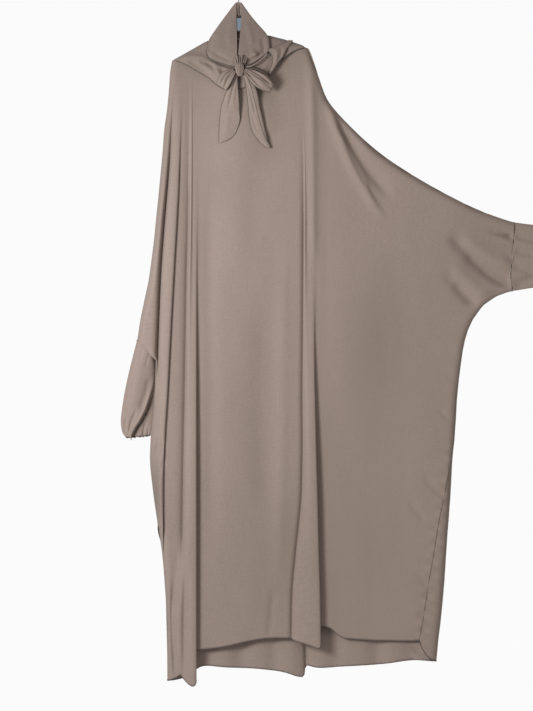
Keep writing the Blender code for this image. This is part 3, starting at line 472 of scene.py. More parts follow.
def nearest_on(line, x, z):
    """Distance to a line of points, the side it lies on and how far along the nearest place is."""
    line = np.array(line, float)
    reach = part_of(line)
    nearest = np.full(np.shape(x), 1e9)
    side = np.zeros(np.shape(x))
    place = np.zeros(np.shape(x))
    for index, (start, end) in enumerate(zip(line[:-1], line[1:])):
        run = end - start
        part = ((x - start[0]) * run[0] + (z - start[1]) * run[1]) / (run @ run)
        part = np.clip(part, 0, 1)
        gap = np.hypot(x - start[0] - part * run[0], z - start[1] - part * run[1])
        turned = (z - start[1]) * run[0] - (x - start[0]) * run[1]
        nearer = gap < nearest
        nearest = np.where(nearer, gap, nearest)
        side = np.where(nearer, np.sign(turned), side)
        place = np.where(nearer, reach[index] + part * (reach[index + 1] - reach[index]), place)
    return nearest, side, place


def distance_to(lines, x, z):
    """Distance from each point to the nearest of the given lines of (x, z) points."""
    return np.min([nearest_on(line, x, z)[0] for line in lines], axis=0)


CREASE_ENDS = 0.22


def pressed(creases, x, z):
    """How far creases push the cloth out. Each is its height (less than 0 for a trough), its
    width on the left and on the right of its line going down, and the points of its line."""
    total = np.zeros(np.shape(x))
    for out, left_width, right_width, *line in creases:
        gap, side, place = nearest_on(fine_table(line, 3 * len(line)), x, z)
        width = np.where(side > 0, right_width, left_width)
        ends = ease(place / CREASE_ENDS) * ease((1 - place) / CREASE_ENDS)
        total += out * bell(gap, width) * ends
    return total


def edge_rise(distance, reach=EDGE_REACH):
    """How much of its depth the cloth has at a distance from the outline: a quarter circle."""
    part = np.clip(1 - distance / reach, 0, 1)
    return np.sqrt(1 - part * part)


def inset(arc, depth, reach=EDGE_REACH):
    """Distance from the outline of a point that lies an arc's length round its soft edge."""
    turn = arc / ((reach + depth) / 2)
    flat = reach + arc - math.pi / 4 * (reach + depth)
    round_it = reach * (1 - np.cos(np.minimum(turn, math.pi / 2)))
    return np.where(turn < math.pi / 2, round_it, flat)


def arc_of(distance, depth, reach=EDGE_REACH):
    """The arc's length round the soft edge for a distance from the outline."""
    turn = np.arccos(np.clip(1 - distance / reach, 0, 1))
    flat = distance - reach + math.pi / 4 * (reach + depth)
    return np.where(distance < reach, turn * (reach + depth) / 2, flat)


SPLINE_DEGREE = 3


def spline_weights(count, places):
    """Weights of a clamped cubic spline's control points, read at places counted in points."""
    degree = SPLINE_DEGREE
    last = count - degree
    knots = np.concatenate([[0] * degree, np.arange(last + 1), [last] * degree]).astype(float)
    middles = np.array([knots[i + 1 : i + 1 + degree].mean() for i in range(count)])
    reads = np.interp(places, np.arange(count), middles)
    weights = np.zeros((len(reads), count + degree))
    for row, place in enumerate(reads):
        weights[row, min(int(place), last - 1) + degree] = 1
    for order in range(1, degree + 1):
        raised = np.zeros_like(weights)
        for index in range(count + degree - order):
            start, end = knots[index], knots[index + order + 1]
            left = knots[index + order] - start
            right = end - knots[index + 1]
            if left > 0:
                raised[:, index] += (reads - start) / left * weights[:, index]
            if right > 0:
                raised[:, index] += (end - reads) / right * weights[:, index + 1]
        weights = raised
    return weights[:, :count]


def smooth_across(net, longest):
    """The net's rows drawn as smooth curves, with points no further apart than longest."""
    gaps = np.linalg.norm(np.diff(net, axis=1), axis=2).max(axis=0)
    places = [0.0]
    for index, gap in enumerate(gaps):
        count = int(np.clip(math.ceil(gap / longest), 2, 16))
        places.extend(index + np.arange(1, count + 1) / count)
    return np.einsum("sc,rck->rsk", spline_weights(net.shape[1], np.array(places)), net)


def patch(left, right, top, bottom, down):
    """Points of a sheet between its four edges, each a list of (x, z). left and right have a point
    for each row, top and bottom one for each column, and down is how far down each row lies."""
    d = down[:, None]
    a = ((1 - d) * part_of(top) + d * part_of(bottom))[..., None]
    d = d[..., None]
    sides = (1 - a) * left[:, None] + a * right[:, None]
    above = top[None] - (1 - a) * top[0] - a * top[-1]
    below = bottom[None] - (1 - a) * bottom[0] - a * bottom[-1]
    return sides + (1 - d) * above + d * below


def patch_between(first, last, top, hem, down):
    """The sheet between two columns, under the points of top and above those of hem that lie
    clear of the columns. The two columns themselves are left out."""
    edges = []
    for row, table, clear in ((0, top, 9), (-1, hem, 5)):
        inner = [p for p in table if first[row, 0] + clear < p[0] < last[row, 0] - clear]
        edges.append(np.array([first[row], *inner, last[row]]))
    bottom = along(edges[1], np.linspace(0, 1, len(edges[0])))
    return patch(first, last, edges[0], bottom, down)[:, 1:-1]


def normals_of(points, ring=False):
    if ring:
        across = np.roll(points, -1, axis=1) - np.roll(points, 1, axis=1)
    else:
        across = np.gradient(points, axis=1)
    return unit(np.cross(across, np.gradient(points, axis=0)))


def fill_grid(x, y, z):
    """One array of points from three arrays that fill one grid."""
    return np.stack(np.broadcast_arrays(x, y, z), axis=-1)


def circle(sides):
    """Angles all round, the last one a step short of the first."""
    return np.linspace(0, FULL_TURN, sides, endpoint=False)


def ellipse(across, up, turns):
    """For each pair of directions, the points all round in their plane."""
    return across[:, None] * np.cos(turns)[:, None] + up[:, None] * np.sin(turns)[:, None]


# Making pieces

SMOOTH_ANGLE = 60


def new_piece(name, points, faces, finish):
    """A mesh object from points in millimetres, riding on the body."""
    mesh = bpy.data.meshes.new(name)
    mesh.from_pydata((np.asarray(points).reshape(-1, 3) * MM).tolist(), [], faces)
    shape = bmesh.new()
    shape.from_mesh(mesh)
    bmesh.ops.recalc_face_normals(shape, faces=shape.faces)
    shape.to_mesh(mesh)
    shape.free()
    mesh.materials.append(finish)
    mesh.shade_smooth()
    mesh.set_sharp_from_angle(angle=math.radians(SMOOTH_ANGLE))
    piece = add_object(name, mesh)
    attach(piece, "root")
    return piece


def lay_cut_map(piece, across, down):
    """Coordinates on the flat cut, in metres, for the weave to follow on both faces."""
    flat = np.stack([across.ravel(), down.ravel()], axis=-1)
    flat = np.tile(flat, (len(piece.data.vertices) // len(flat) + 1, 1))
    layer = piece.data.uv_layers.new(name="cut")
    corners = np.zeros(len(piece.data.loops), int)
    piece.data.loops.foreach_get("vertex_index", corners)
    layer.data.foreach_set("uv", flat[corners].ravel())


def steps_between(points, axis):
    return np.linalg.norm(np.diff(points, axis=axis), axis=2)


def cut_coordinates(points):
    """Distances across and down the sheet, in metres."""
    across = np.cumsum(steps_between(points, 1).mean(axis=0)) * MM
    down = np.cumsum(steps_between(points, 0).mean(axis=1)) * MM
    return np.broadcast_arrays(np.append(0, across)[None, :], np.append(0, down)[:, None])


def cells_of(row, cells, columns, step):
    """Four corner numbers for each cell between rows of points that lie a step apart."""
    a = row + cells
    b = row + (cells + 1) % columns
    return np.stack([a, b, b + step, a + step], axis=-1).reshape(-1, 4)


def sheet_faces(rows, columns, ring):
    """Faces of a closed thin shell: two sheets of rows x columns points and their rims."""
    inner = rows * columns
    cells = np.arange(columns if ring else columns - 1)
    front = cells_of(np.arange(rows - 1)[:, None] * columns, cells, columns, columns)
    faces = [front, front[:, ::-1] + inner]
    for start in (0, inner - columns):
        faces.append(cells_of(start, cells, columns, inner))
    if not ring:
        for start in (0, columns - 1):
            a = np.arange(rows - 1) * columns + start
            faces.append(np.stack([a, a + columns, inner + a + columns, inner + a], axis=-1))
    return np.concatenate(faces).tolist()


def tube_faces(rings, sides):
    """Faces of a bar made of closed rings, with one face across each end."""
    around = cells_of(np.arange(rings - 1)[:, None] * sides, np.arange(sides), sides, sides)
    last = (rings - 1) * sides
    return around.tolist() + [list(range(sides))[::-1], list(range(last, last + sides))]


def sew_sheet(name, points, finish, node=None, ring=False, wall=WALL, side=0):
    """A thin closed shell round a sheet of rows x columns points, with its cut stated. side is
    -1 for points that stay in front of the side seams, 1 for points behind them."""
    rows, columns = points.shape[:2]
    lift = normals_of(points, ring) * wall / 2
    both = np.stack([points + lift, points - lift])
    clear = side * np.maximum(side * both[..., 1], SEAM_GAP / 2)
    both[..., 1] = np.where(side == 0, both[..., 1], clear)
    piece = new_piece(name, both, sheet_faces(rows, columns, ring), finish)
    lay_cut_map(piece, *cut_coordinates(points))
    if node:
        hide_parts(node)


def round_bar(name, path, finish, radius=0.8, sides=8, twist=0.8, ridge=0.14):
    """A round cord or rolled hem. twist and ridge give it the lay of a twisted thread."""
    path = np.array(path, float)
    ahead = unit(np.gradient(path, axis=0))
    across = np.cross(ahead, (0.0, 1.0, 0.0))
    weak = np.linalg.norm(across, axis=1, keepdims=True) < 0.1
    across = unit(np.where(weak, (1.0, 0.0, 0.0), across))
    up = np.cross(across, ahead)
    turns = circle(sides)
    swell = 1 + ridge * np.cos(2 * (turns[None] + twist * reach_of(path)[:, None]))
    around = ellipse(across, up, turns)
    rings = path[:, None] + (radius * swell)[..., None] * around
    new_piece(name, rings, tube_faces(len(path), sides), finish)


# A stitch's rings: place along it, share of its thickness
STITCH_RINGS = ((-0.5, 0.35), (-0.3, 0.9), (0.0, 1.0), (0.3, 0.9), (0.5, 0.35))
STITCH_SIDES = 6
STITCH_FLATNESS = 0.7
# Pitch, length and radius of the stitches
STITCHES = (3.4, 2.6, 0.32)
OVERLOCK = (2.4, 4.2, 0.42)
OVERLOCK_LEAN = 0.25
EDGE_BEAD = 0.75


def sew_stitches(name, places, directions, outward, length, radius, finish):
    """A row of short thread stitches, as one mesh."""
    turns = circle(STITCH_SIDES)
    run = unit(directions)
    across = unit(np.cross(run, unit(outward)))
    out = STITCH_FLATNESS * np.cross(across, run)
    around = ellipse(across, out, turns)
    rings = [
        (places + run * step * length)[:, None] + radius * width * around
        for step, width in STITCH_RINGS
    ]
    points = np.stack(rings, axis=1)
    one = tube_faces(len(STITCH_RINGS), STITCH_SIDES)
    starts = range(0, points.size // 3, len(STITCH_RINGS) * STITCH_SIDES)
    faces = [[start + corner for corner in face] for start in starts for face in one]
    new_piece(name, points, faces, finish)


def spaced(path, outward, pitch):
    """Places, directions and outward directions along a path, a pitch apart."""
    reach = reach_of(path)
    at = np.arange(pitch / 2, reach[-1] - pitch / 2, pitch)
    ahead = np.gradient(path, axis=0)
    runs, outs = (unit(read_at(at, reach, lines)) for lines in (ahead, outward))
    return read_at(at, reach, path), runs, outs


def topstitch(name, points, row, finish, face):
    """Machine stitches along one row of a sheet, on its outer face."""
    pitch, length, radius = STITCHES
    outward = normals_of(points)[row] * face
    path = points[row] + outward * (WALL / 2 + 0.05)
    sew_stitches(name, *spaced(path, outward, pitch), length, radius, finish)


def overlock(name, points, inward, face, finish):
    """Threads round the raw edge of a sheet. points is the edge, inward leads into the cloth."""
    pitch, width, radius = OVERLOCK
    round_bar(f"{name}_bead", points + inward * 0.2, finish, EDGE_BEAD)
    for side, label in ((1, "outer"), (-1, "inner")):
        path = points + inward * width * 0.4 + side * face * (WALL / 2 + 0.1)
        places, runs, outs = spaced(path, side * face, pitch)
        at = np.linspace(0, len(path) - 1, len(places))
        lean = read_at(at, np.arange(len(path)), inward) + OVERLOCK_LEAN * side * runs
        sew_stitches(f"{name}_{label}_threads", places, lean, outs, width, radius, finish)


# The outline and the folds

# The left side from the shoulder to the sleeve seam: height, distance from the middle
LEFT_UPPER = (
    (-191.5, -154), (-219, -158.5), (-261, -161.5), (-308, -166), (-355, -172.5), (-402, -176),
    (-472, -182.5), (-519, -187), (-566, -192), (-613, -196.5), (-660, -202.5), (-707, -209),
    (-754, -219), (-801, -228.5), (-850, -236),
)
# The left side below the sleeve seam
LEFT_LOWER = (
    (-896, -193), (-970, -196), (-1020, -199), (-1085, -204.5), (-1127, -206), (-1194, -200),
    (-1274, -189), (-1346, -178), (-1412, -172), (-1522, -166), (-1650, -165),
)
# The edge over the right shoulder and along the sleeve: distance from the middle, height
TOP_RIGHT = (
    (163, -160), (168, -171), (175, -190), (187, -219), (201, -261), (210, -284), (229, -308),
    (250, -331), (274, -355), (323, -402), (391, -449), (471, -496), (563, -543), (633, -567),
    (650, -572),
)
# The seam where the right sleeve takes its lower piece: height, distance from the middle
CUFF_SEAM = (
    (-572, 650), (-600, 649.5), (-628, 646.5), (-656, 643), (-684, 641.8), (-710, 643), (-733, 646),
)
# Under the right sleeve and down the right side: height, distance from the middle
RIGHT_SIDE = (
    (-733, 646), (-737, 632), (-745, 610), (-754, 596), (-766, 579), (-778, 569), (-801, 553),
    (-825, 542), (-848, 535), (-872, 530), (-907, 525), (-942, 520.5), (-989, 516), (-1083, 511),
    (-1130, 507), (-1224, 502), (-1318, 495), (-1412, 489), (-1506, 480.5), (-1553, 475),
    (-1605, 470),
)
# How far the side seam has rolled on to the front: height, width of the back panel that shows
SIDE_TURN = (
    (-1035, 0), (-1085, 1.6), (-1130, 6), (-1180, 12.5), (-1271, 25), (-1351, 32), (-1420, 40),
    (-1496, 44), (-1605, 52),
)
# The front panel's neck edge, which the cowl covers: distance from the middle, height
NECK_EDGE = (
    (-154, -192), (-145, -190), (-127, -189), (-96, -202), (-60, -223), (-28, -250), (5, -260),
    (40, -246), (75, -212), (106, -178), (147, -165), (163, -161),
)
# The shoulders and the back neck, where the back panel begins: distance from the middle, height
BACK_TOP = (
    (-154, -191.5), (-112, -167.5), (-69, -143), (-67.5, -144.5), (-60, -148.5), (-40, -154),
    (3, -157), (45, -150), (62, -139.5), (69, -132.5), (70, -131), (97, -138), (125, -145),
    (147, -156), (163, -160),
)
# The points of BACK_TOP where the left shoulder ends and the right one begins
LEFT_SHOULDER = 3
RIGHT_SHOULDER = 10
# The hem of the front panel's right part and of the back panel
FRONT_HEM = (
    (208, -1520), (222, -1527), (232, -1540), (247, -1550), (323, -1555), (400, -1559),
    (480, -1556),
)
BACK_HEM = (
    (-165, -1650), (-110, -1640), (-92, -1612), (-23, -1619), (45, -1621), (105, -1628),
    (137, -1636), (158, -1632), (173, -1622), (252, -1616), (342, -1611), (412, -1600),
    (470, -1605),
)

# Lines that the folds of the front follow. Columns: height, then each line's distance from the
# middle: a is the gap beside the hanging sleeve, b and d are fold edges over a deeper layer, c is
# a soft ridge, e is a soft valley and f is the fold edge at the right
FRONT_LINES = (
    (-160, -143, -128, -112, -98, 118, 153),
    (-300, -152, -131, -112, -98, 146, 172),
    (-430, -160, -135, -113, -97, 154, 177),
    (-560, -171, -142, -114.5, -96.5, 155, 178.5),
    (-700, -181, -150, -118, -96, 154.5, 179.5),
    (-850, -187, -158, -120.5, -96, 153.5, 181),
    (-970, -191, -164, -122.5, -96, 152.5, 182.5),
    (-1085, -199, -171, -125, -96, 153, 185),
    (-1200, -196, -175, -127, -96, 151, 188),
    (-1346, -176.5, -174, -128.5, -96, 137.5, 191.5),
    (-1450, -169, -167, -130, -96, 128.5, 194.5),
    (-1650, -164, -162.5, -132, -96, 125, 197),
)
LINE_NAMES = ("a", "b", "c", "d", "e", "f")
# Each fold of the front: heights where it begins and is full, heights where it dies out,
# how far its edge overlaps the layer behind, and how far it stands in front of that layer
FOLD_GROWTH = {
    "a": (-230, -560, -880, -960, 0, 17),
    "b": (-200, -600, -1290, -1400, 14, 13),
    "c": (-200, -760, -1240, -1440, 0, 9),
    "d": (-300, -1240, None, None, 20, 16),
    "e": (-320, -620, None, None, 0, 4),
    "f": (-520, -1260, None, None, 24, 17),
}
# Each column of the front panel up to the fold f: the line it follows, its distance from that line
# while the cloth is open and once the fold is full (in overlaps and in mm), how far out it stands
# then, in the fold's own depth, and its height at the hem
FRONT_COLUMNS = (
    ("left", 0, 0, 0, 0, -1650),
    ("left", 3, 3, 0, 0.1, -1650),
    ("left", 8, 9, 0, 0.3, -1650),
    ("a", -7, -14, 0, 0.45, -1650),
    ("a", -5, -5, 0, 0.3, -1650),
    ("a", -3, -1.5, 0, -0.5, -1650),
    ("a", 0, 0.8, 0, -0.75, -1650),
    ("a", 3, 2.5, 0, -0.1, -1650),
    ("a", 6, 7, 0, 0.5, -1650),
    ("b", -9, -8, 0, 1.05, -1650),
    ("b", -5, -1, 0, 1, -1650),
    ("b", -2, 0.5, 0, 0.72, -1650),
    ("b", 2, 0, -1, 0.5, -1649),
    ("b", 4.5, 0, -1, 0.3, -1648),
    ("b", 8, 5, 0, 0.4, -1646),
    ("c", -8, -14, 0, 0.5, -1640),
    ("c", -5, -4.5, 0, 0.1, -1636),
    ("c", -1.5, -1, 0, -0.8, -1636),
    ("c", 2, 2, 0, 0.8, -1641),
    ("c", 5.5, 6, 0, 1.2, -1646),
    ("d", -9, -17, 0, 1, -1660),
    ("d", -6, -6, 0, 1.05, -1664),
    ("d", -3, -0.5, 0, 1, -1655),
    ("d", 0, 0.5, 0, 0.75, -1640),
    ("d", 3, 0, -1, 0.55, -1612),
    ("d", 7, 0, -1, 0.15, -1588),
    ("d", 14, 6, 0, 0, -1575),
    ("d", 34, 32, 0, 0.15, -1574),
    ("middle", -24, -24, 0, 0.25, -1569),
    ("middle", 44, 44, 0, 0.25, -1550),
    ("e", -16, -16, 0, 0.3, -1548),
    ("e", -5, -6, 0, 1, -1550),
    ("e", -1, -1, 0, -0.9, -1552),
    ("e", 2, 2, 0, -0.9, -1552),
    ("e", 5, 5.5, 0, 1.5, -1555),
    ("f", -20, -22, 0, 0.95, -1567),
    ("f", -9, -6, 0, 1, -1575),
    ("f", -4.5, -0.5, 0, 0.97, -1571),
    ("f", -1, 0.5, 0, 0.75, -1558),
    ("f", 3, 0, -1, 0.5, -1545),
    ("f", 8, 0, -1, 0.1, -1530),
    ("f", 16, 8, 0, -0.1, -1520),
)
# How far round the edge's soft curve the front's last columns lie
FRONT_EDGE_ARCS = (34, 21, 11, 3, 0)
# Soft hanging folds of the back: place at the shoulder, place at the hem, how far out, half width
BACK_FOLDS = (
    (-120, -128, 7, 16), (-62, -70, 5, 20), (-5, 8, 8, 22), (52, 86, 5, 18),
    (98, 158, 9, 17), (150, 232, 6, 24), (215, 330, 7, 22), (330, 415, 5, 26),
)
# How far down the rows of front and back lie, at the front's middle
ROW_DROPS = (
    0, 1.5, 7, 20, 48, 90, 150, 205, 235, 238, 300, 345, 400, 490, 590, 658.5, 663, 681.5, 700,
    704.5, 748, 792, 836, 890, 960, 1050, 1150, 1250, 1350, 1425, 1458.5,
)
CUFF_ROW_DROP = 238
SHARED_SIDE_END = -1440
SHOULDER_DEPTH = 9
HANGING_DEPTH = 25
SLEEVE_DEPTH = 10
SIDE_SWELL = 8
BACK_DEPTH = 10
# Width under which the strip between the left side and the fold b runs out
STRIP_ROOM = 16

# Creases of the front: height, width at the left and at the right, points (x, z) going down
FRONT_CREASES = (
    # the front's left edge, drawn across near the hem
    (-3, 9, 10, (-138, -1330), (-142, -1380), (-150, -1440), (-154, -1500)),
    (-6, 4, 10, (-148, -1400), (-153, -1450), (-155, -1500), (-151, -1580), (-147, -1650)),
    (7, 15, 9, (-119, -1290), (-125, -1380), (-132, -1450), (-135, -1520), (-134, -1580),
     (-131, -1650)),
    (3, 4, 5, (-161, -1460), (-162, -1500), (-161, -1580), (-160, -1650)),
    (1.6, 2, 3, (-141, -1500), (-146, -1512), (-150, -1526)),
    (1.6, 2, 3, (-138, -1548), (-143, -1558), (-147, -1572)),
    (1.4, 2, 3, (-138, -1590), (-142, -1600), (-146, -1612)),
    # slack under the bow
    (10.5, 62, 62, (4, -190), (6, -250), (8, -310), (10, -390), (12, -470)),
    (4.5, 18, 30, (50, -258), (58, -294), (66, -334), (74, -372)),
    # off the right shoulder, down to the fold
    (5, 11, 10, (167, -165), (173, -250), (176, -340), (177, -450), (178, -600), (180, -700)),
    # along the sleeve's top edge: a ridge, the trough above it and a narrow drag line
    (6.5, 13, 6, (210, -280), (234, -349), (264, -425), (288, -472), (321, -526), (352, -570)),
    (-7, 10, 20, (222, -300), (250, -356), (282, -414), (322, -470), (368, -520)),
    (2.4, 3.5, 6, (232, -350), (254, -388), (276, -426), (298, -470), (317, -520)),
    # across the sleeve
    (-9.5, 15, 16, (492, -595), (523, -624), (572, -668), (610, -693), (646, -720)),
    (-5, 4, 6, (608, -595), (630, -602), (648, -607)),
    (-5, 14, 15, (530, -640), (560, -668), (590, -690), (620, -706), (648, -724)),
    (-5, 10, 12, (572, -677), (598, -696), (624, -710), (650, -726)),
    (-4, 13, 14, (484, -684), (511, -714), (537, -745), (566, -771)),
    (-4, 11, 12, (508, -712), (526, -733), (546, -754), (566, -771)),
    (4, 20, 20, (520, -600), (566, -640), (606, -668), (648, -690)),
    (3.5, 16, 16, (500, -670), (540, -708), (576, -736), (604, -752)),
    # at the sleeve's cuff seam
    (-4, 5, 5, (588, -593), (610, -597), (630, -602), (652, -609)),
    (-3, 3, 3, (630, -602), (642, -605), (653, -609)),
    (2.4, 5, 5, (616, -612), (634, -616), (652, -620)),
    (-2.2, 4, 4, (580, -748), (598, -737), (628, -731)),
    (-1.8, 3, 4, (622, -640), (636, -650), (648, -660)),
    (1.8, 3, 4, (618, -656), (632, -668), (646, -680)),
    # small ones beside the right seam
    (-2, 6, 8, (400, -1226), (424, -1256), (442, -1280)),
    (-2, 6, 8, (434, -1165), (466, -1202), (499, -1231)),
    (-2, 5, 6, (424, -1398), (444, -1430), (461, -1454)),
    (-1.6, 5, 5, (425, -1482), (452, -1500), (462, -1510)),
    (-1.8, 5, 6, (470, -1010), (492, -1030), (512, -1044)),
    (-1.8, 5, 6, (488, -930), (506, -944), (522, -952)),
    # a faint pleat in the middle of the hem, to the left of the fold
    (-2.2, 7, 9, (83, -1430), (80, -1480), (72, -1556)),
    # puckers beside the hanging sleeve
    (-3.4, 3, 4, (-182, -1070), (-188, -1096), (-195, -1126)),
    (-3, 3, 3, (-174, -1078), (-178, -1100), (-182, -1124)),
    (2.6, 4, 4, (-190, -1066), (-195, -1092), (-201, -1118)),
    (-2.6, 3, 4, (-172, -1128), (-180, -1150), (-190, -1176)),
    (-2.8, 3, 4, (-203, -1032), (-180, -1086), (-173, -1112)),
    (-2.6, 3, 4, (-206, -1065), (-182, -1112), (-175, -1144)),
    (2, 3, 3, (-196, -1052), (-184, -1086), (-178, -1116)),
    (-1.8, 3, 3, (-200, -1112), (-192, -1146), (-180, -1180)),
    # broad slack hollows and swells
    (-5, 30, 40, (66, -730), (62, -880), (58, -1050), (70, -1290)),
    (-1.6, 50, 60, (335, -720), (352, -850), (368, -980)),
    (3, 30, 30, (10, -420), (2, -560), (0, -700)),
    (-3.5, 14, 20, (-60, -420), (-66, -700), (-62, -1000), (-64, -1400)),
    (3, 18, 18, (112, -560), (108, -800), (104, -1100), (96, -1480)),
)
# The slack of the front under the bow: its middle (x, z), half width and how far out it stands
SLUMP = (5, -235, 60, 9)
SIDE_SEAM_TOP = -1080
PUCKER_REACH = 15
PUCKER_HEIGHT = 1.7
# The height where each of these begins to grow, and the length over which it does
PUCKER_SPAN = (-1020, 120)
SHOULDER_SPAN = (-180, 260)
SIDE_SPAN = (-760, 500)


def seam_puckers(x, z):
    """Small uneven waves where the stitching draws the cloth in beside the rolled right seam."""
    off = x - smooth_through(RIGHT_SIDE, z) + side_turn(z)
    beside = bell(off, PUCKER_REACH) * grown_below(z, PUCKER_SPAN)
    wave = np.sin((z + 0.5 * off) / 4.1) + 0.7 * np.sin((z - 0.4 * off) / 6.7 + 1.3)
    return PUCKER_HEIGHT * beside * wave


def growth(name, height):
    """How far a fold has grown at each height, from 0 to 1."""
    start, full, fade, end, _, _ = FOLD_GROWTH[name]
    grown = ease((start - height) / (start - full))
    if fade is not None:
        grown = grown * (1 - ease((fade - height) / (fade - end)))
    return grown


def left_side(height):
    upper = smooth_through(LEFT_UPPER, height)
    lower = smooth_through(LEFT_LOWER, height)
    seam_top, seam_end = LEFT_UPPER[-1], LEFT_LOWER[0]
    seam = np.interp(-height, (-seam_top[0], -seam_end[0]), (seam_top[1], seam_end[1]))
    return np.where(height > seam_top[0], upper, np.where(height < seam_end[0], lower, seam))


def fold_line(name, height):
    return read_column(FRONT_LINES, LINE_NAMES.index(name) + 1, height)


def side_turn(height):
    """Width of the back panel that shows on the front, along the right side."""
    table = np.array(SIDE_TURN, float)
    return np.interp(-np.asarray(height, float), -table[:, 0], table[:, 1])


def base_depth(x, height):
    """How far the plain front hangs in front of the hanger."""
    grown = grown_below(height, SHOULDER_SPAN)
    hanging = SHOULDER_DEPTH + (HANGING_DEPTH - SHOULDER_DEPTH) * grown
    x_middle, z_middle, half_width, out = SLUMP
    return hanging + out * bell(x - x_middle, half_width) * bell(height - z_middle, half_width)


def outline_of_sides():
    """The lines where front and back meet, as lists of (x, z) points."""
    upper = np.linspace(LEFT_UPPER[0][0], LEFT_UPPER[-1][0], 56)
    lower = np.linspace(LEFT_LOWER[0][0], LEFT_LOWER[-1][0], 64)
    return (
        np.stack([left_side(upper), upper], axis=-1),
        np.stack([left_side(lower), lower], axis=-1),
        ((157, -158.5),) + TOP_RIGHT,
        heights_first(RIGHT_SIDE),
    )


def front_column_x(line, open_off, full_off, overlaps, height):
    if line == "left":
        width = fold_line("a", height) - left_side(height)
        return left_side(height) + np.minimum(full_off, width * full_off / 22)
    if line == "middle":
        return np.full(len(height), full_off)
    grown = growth(line, height)
    overlap = FOLD_GROWTH[line][4] * grown**2.5
    offset = open_off * (1 - grown) + full_off * grown + overlaps * overlap
    if (line == "a" and full_off > 0) or (line == "b" and full_off < 0):
        strip = fold_line("b", height) - fold_line("a", height)
        offset = offset * np.clip(strip / STRIP_ROOM, 0, 1)
    x = fold_line(line, height) + offset
    if line == "a" and full_off < 0:
        room = fold_line("a", height) - left_side(height)
        share = 0.35 if full_off < -10 else 0.6 if full_off < -2 else 0.8
        x = np.maximum(x, left_side(height) + room * share)
        x = np.where(room < 20, fold_line("a", height) + room * full_off / 22, x)
    return x


def front_left_block(drops):
    """Control points of the front from the left side to the fold f, as x, depth and height."""
    net = []
    neck = np.array(NECK_EDGE, float).T
    for line, open_off, full_off, overlaps, out, hem in FRONT_COLUMNS:
        height = np.full(len(drops), -190.0)
        for _ in range(3):
            x = front_column_x(line, open_off, full_off, overlaps, height)
            top = np.interp(x[0], *neck)
            height = top + (hem - top) * drops / drops[-1]
        x = front_column_x(line, open_off, full_off, overlaps, height)
        name = {"left": "a", "middle": "d"}.get(line, line)
        stand = out * FOLD_GROWTH[name][5] * growth(name, height)
        if name == "a":
            stand = stand * ease((fold_line("b", height) - left_side(height)) / STRIP_ROOM)
        depth = base_depth(x, height) + stand
        net.append(np.stack([x, depth, height], axis=-1))
    return np.stack(net, axis=1)


def right_edge(down, corner, hem_height):
    """The cuff seam, then the side down to the hem, with a point for each row."""
    seam = along(heights_first(CUFF_SEAM), np.clip(down / corner, 0, 1))
    below = along(heights_first(RIGHT_SIDE), np.clip((down - corner) / (1 - corner), 0, 1))
    drop = (SHARED_SIDE_END - below[:, 1]) / (SHARED_SIDE_END - RIGHT_SIDE[-1][0])
    height = SHARED_SIDE_END - drop * (SHARED_SIDE_END - hem_height)
    shortened = np.stack([smooth_through(RIGHT_SIDE, height), height], axis=-1)
    below = np.where((drop > 0)[:, None], shortened, below)
    return np.where((down < corner)[:, None], seam, below)


def edge_depth(height):
    """Depth of the front beside the right sleeve's seam and down the right side."""
    return SLEEVE_DEPTH + SIDE_SWELL * grown_below(height, SIDE_SPAN)


def beside_seam(edge, reach, down, corner):
    """A column beside the cuff seam and the right side, which starts on the sleeve's top edge."""
    column = np.stack([edge[..., 0] - reach, edge[..., 1]], axis=-1)
    top = np.interp(column[0, 0], *np.array(TOP_RIGHT, float).T)
    column[:, 1] += (top - column[0, 1]) * np.clip(1 - down / corner, 0, 1)
    return column


def front_panel(drops, longest):
    left = front_left_block(drops)
    down = drops / drops[-1]
    corner = CUFF_ROW_DROP / drops[-1]
    first = left[:, -1][:, (0, 2)]
    edge = right_edge(down, corner, FRONT_HEM[-1][1])
    depth = edge_depth(edge[:, 1])
    turned = arc_of(side_turn(edge[:, 1]), depth) + SEAM_GAP / 2
    columns = []
    for arc in FRONT_EDGE_ARCS:
        reach = np.where(down > corner, inset(turned + arc, depth), arc)
        columns.append(beside_seam(edge, reach, down, corner))
    beside = np.stack(columns, axis=1)
    middle = patch_between(first, beside[:, 0], TOP_RIGHT, FRONT_HEM, down)
    flat = np.concatenate([middle, beside], axis=1)
    part = (flat[..., 0] - first[:, :1]) / (beside[:, -1, :1] - first[:, :1])
    start = base_depth(np.array(185.0), flat[..., 1]) - 0.1 * FOLD_GROWTH["f"][5]
    out = start * (1 - part) + depth[:, None] * part
    right = fill_grid(flat[..., 0], out, flat[..., 1])
    net = smooth_across(np.concatenate([left, right], axis=1), longest)
    x, out, height = np.moveaxis(net, -1, 0)
    rise = edge_rise(distance_to(outline_of_sides(), x, height))
    creased = pressed(FRONT_CREASES, x, height) + seam_puckers(x, height)
    return fill_grid(x, -SEAM_GAP / 2 - rise * np.maximum(out + creased, 1.0), height)


# The back

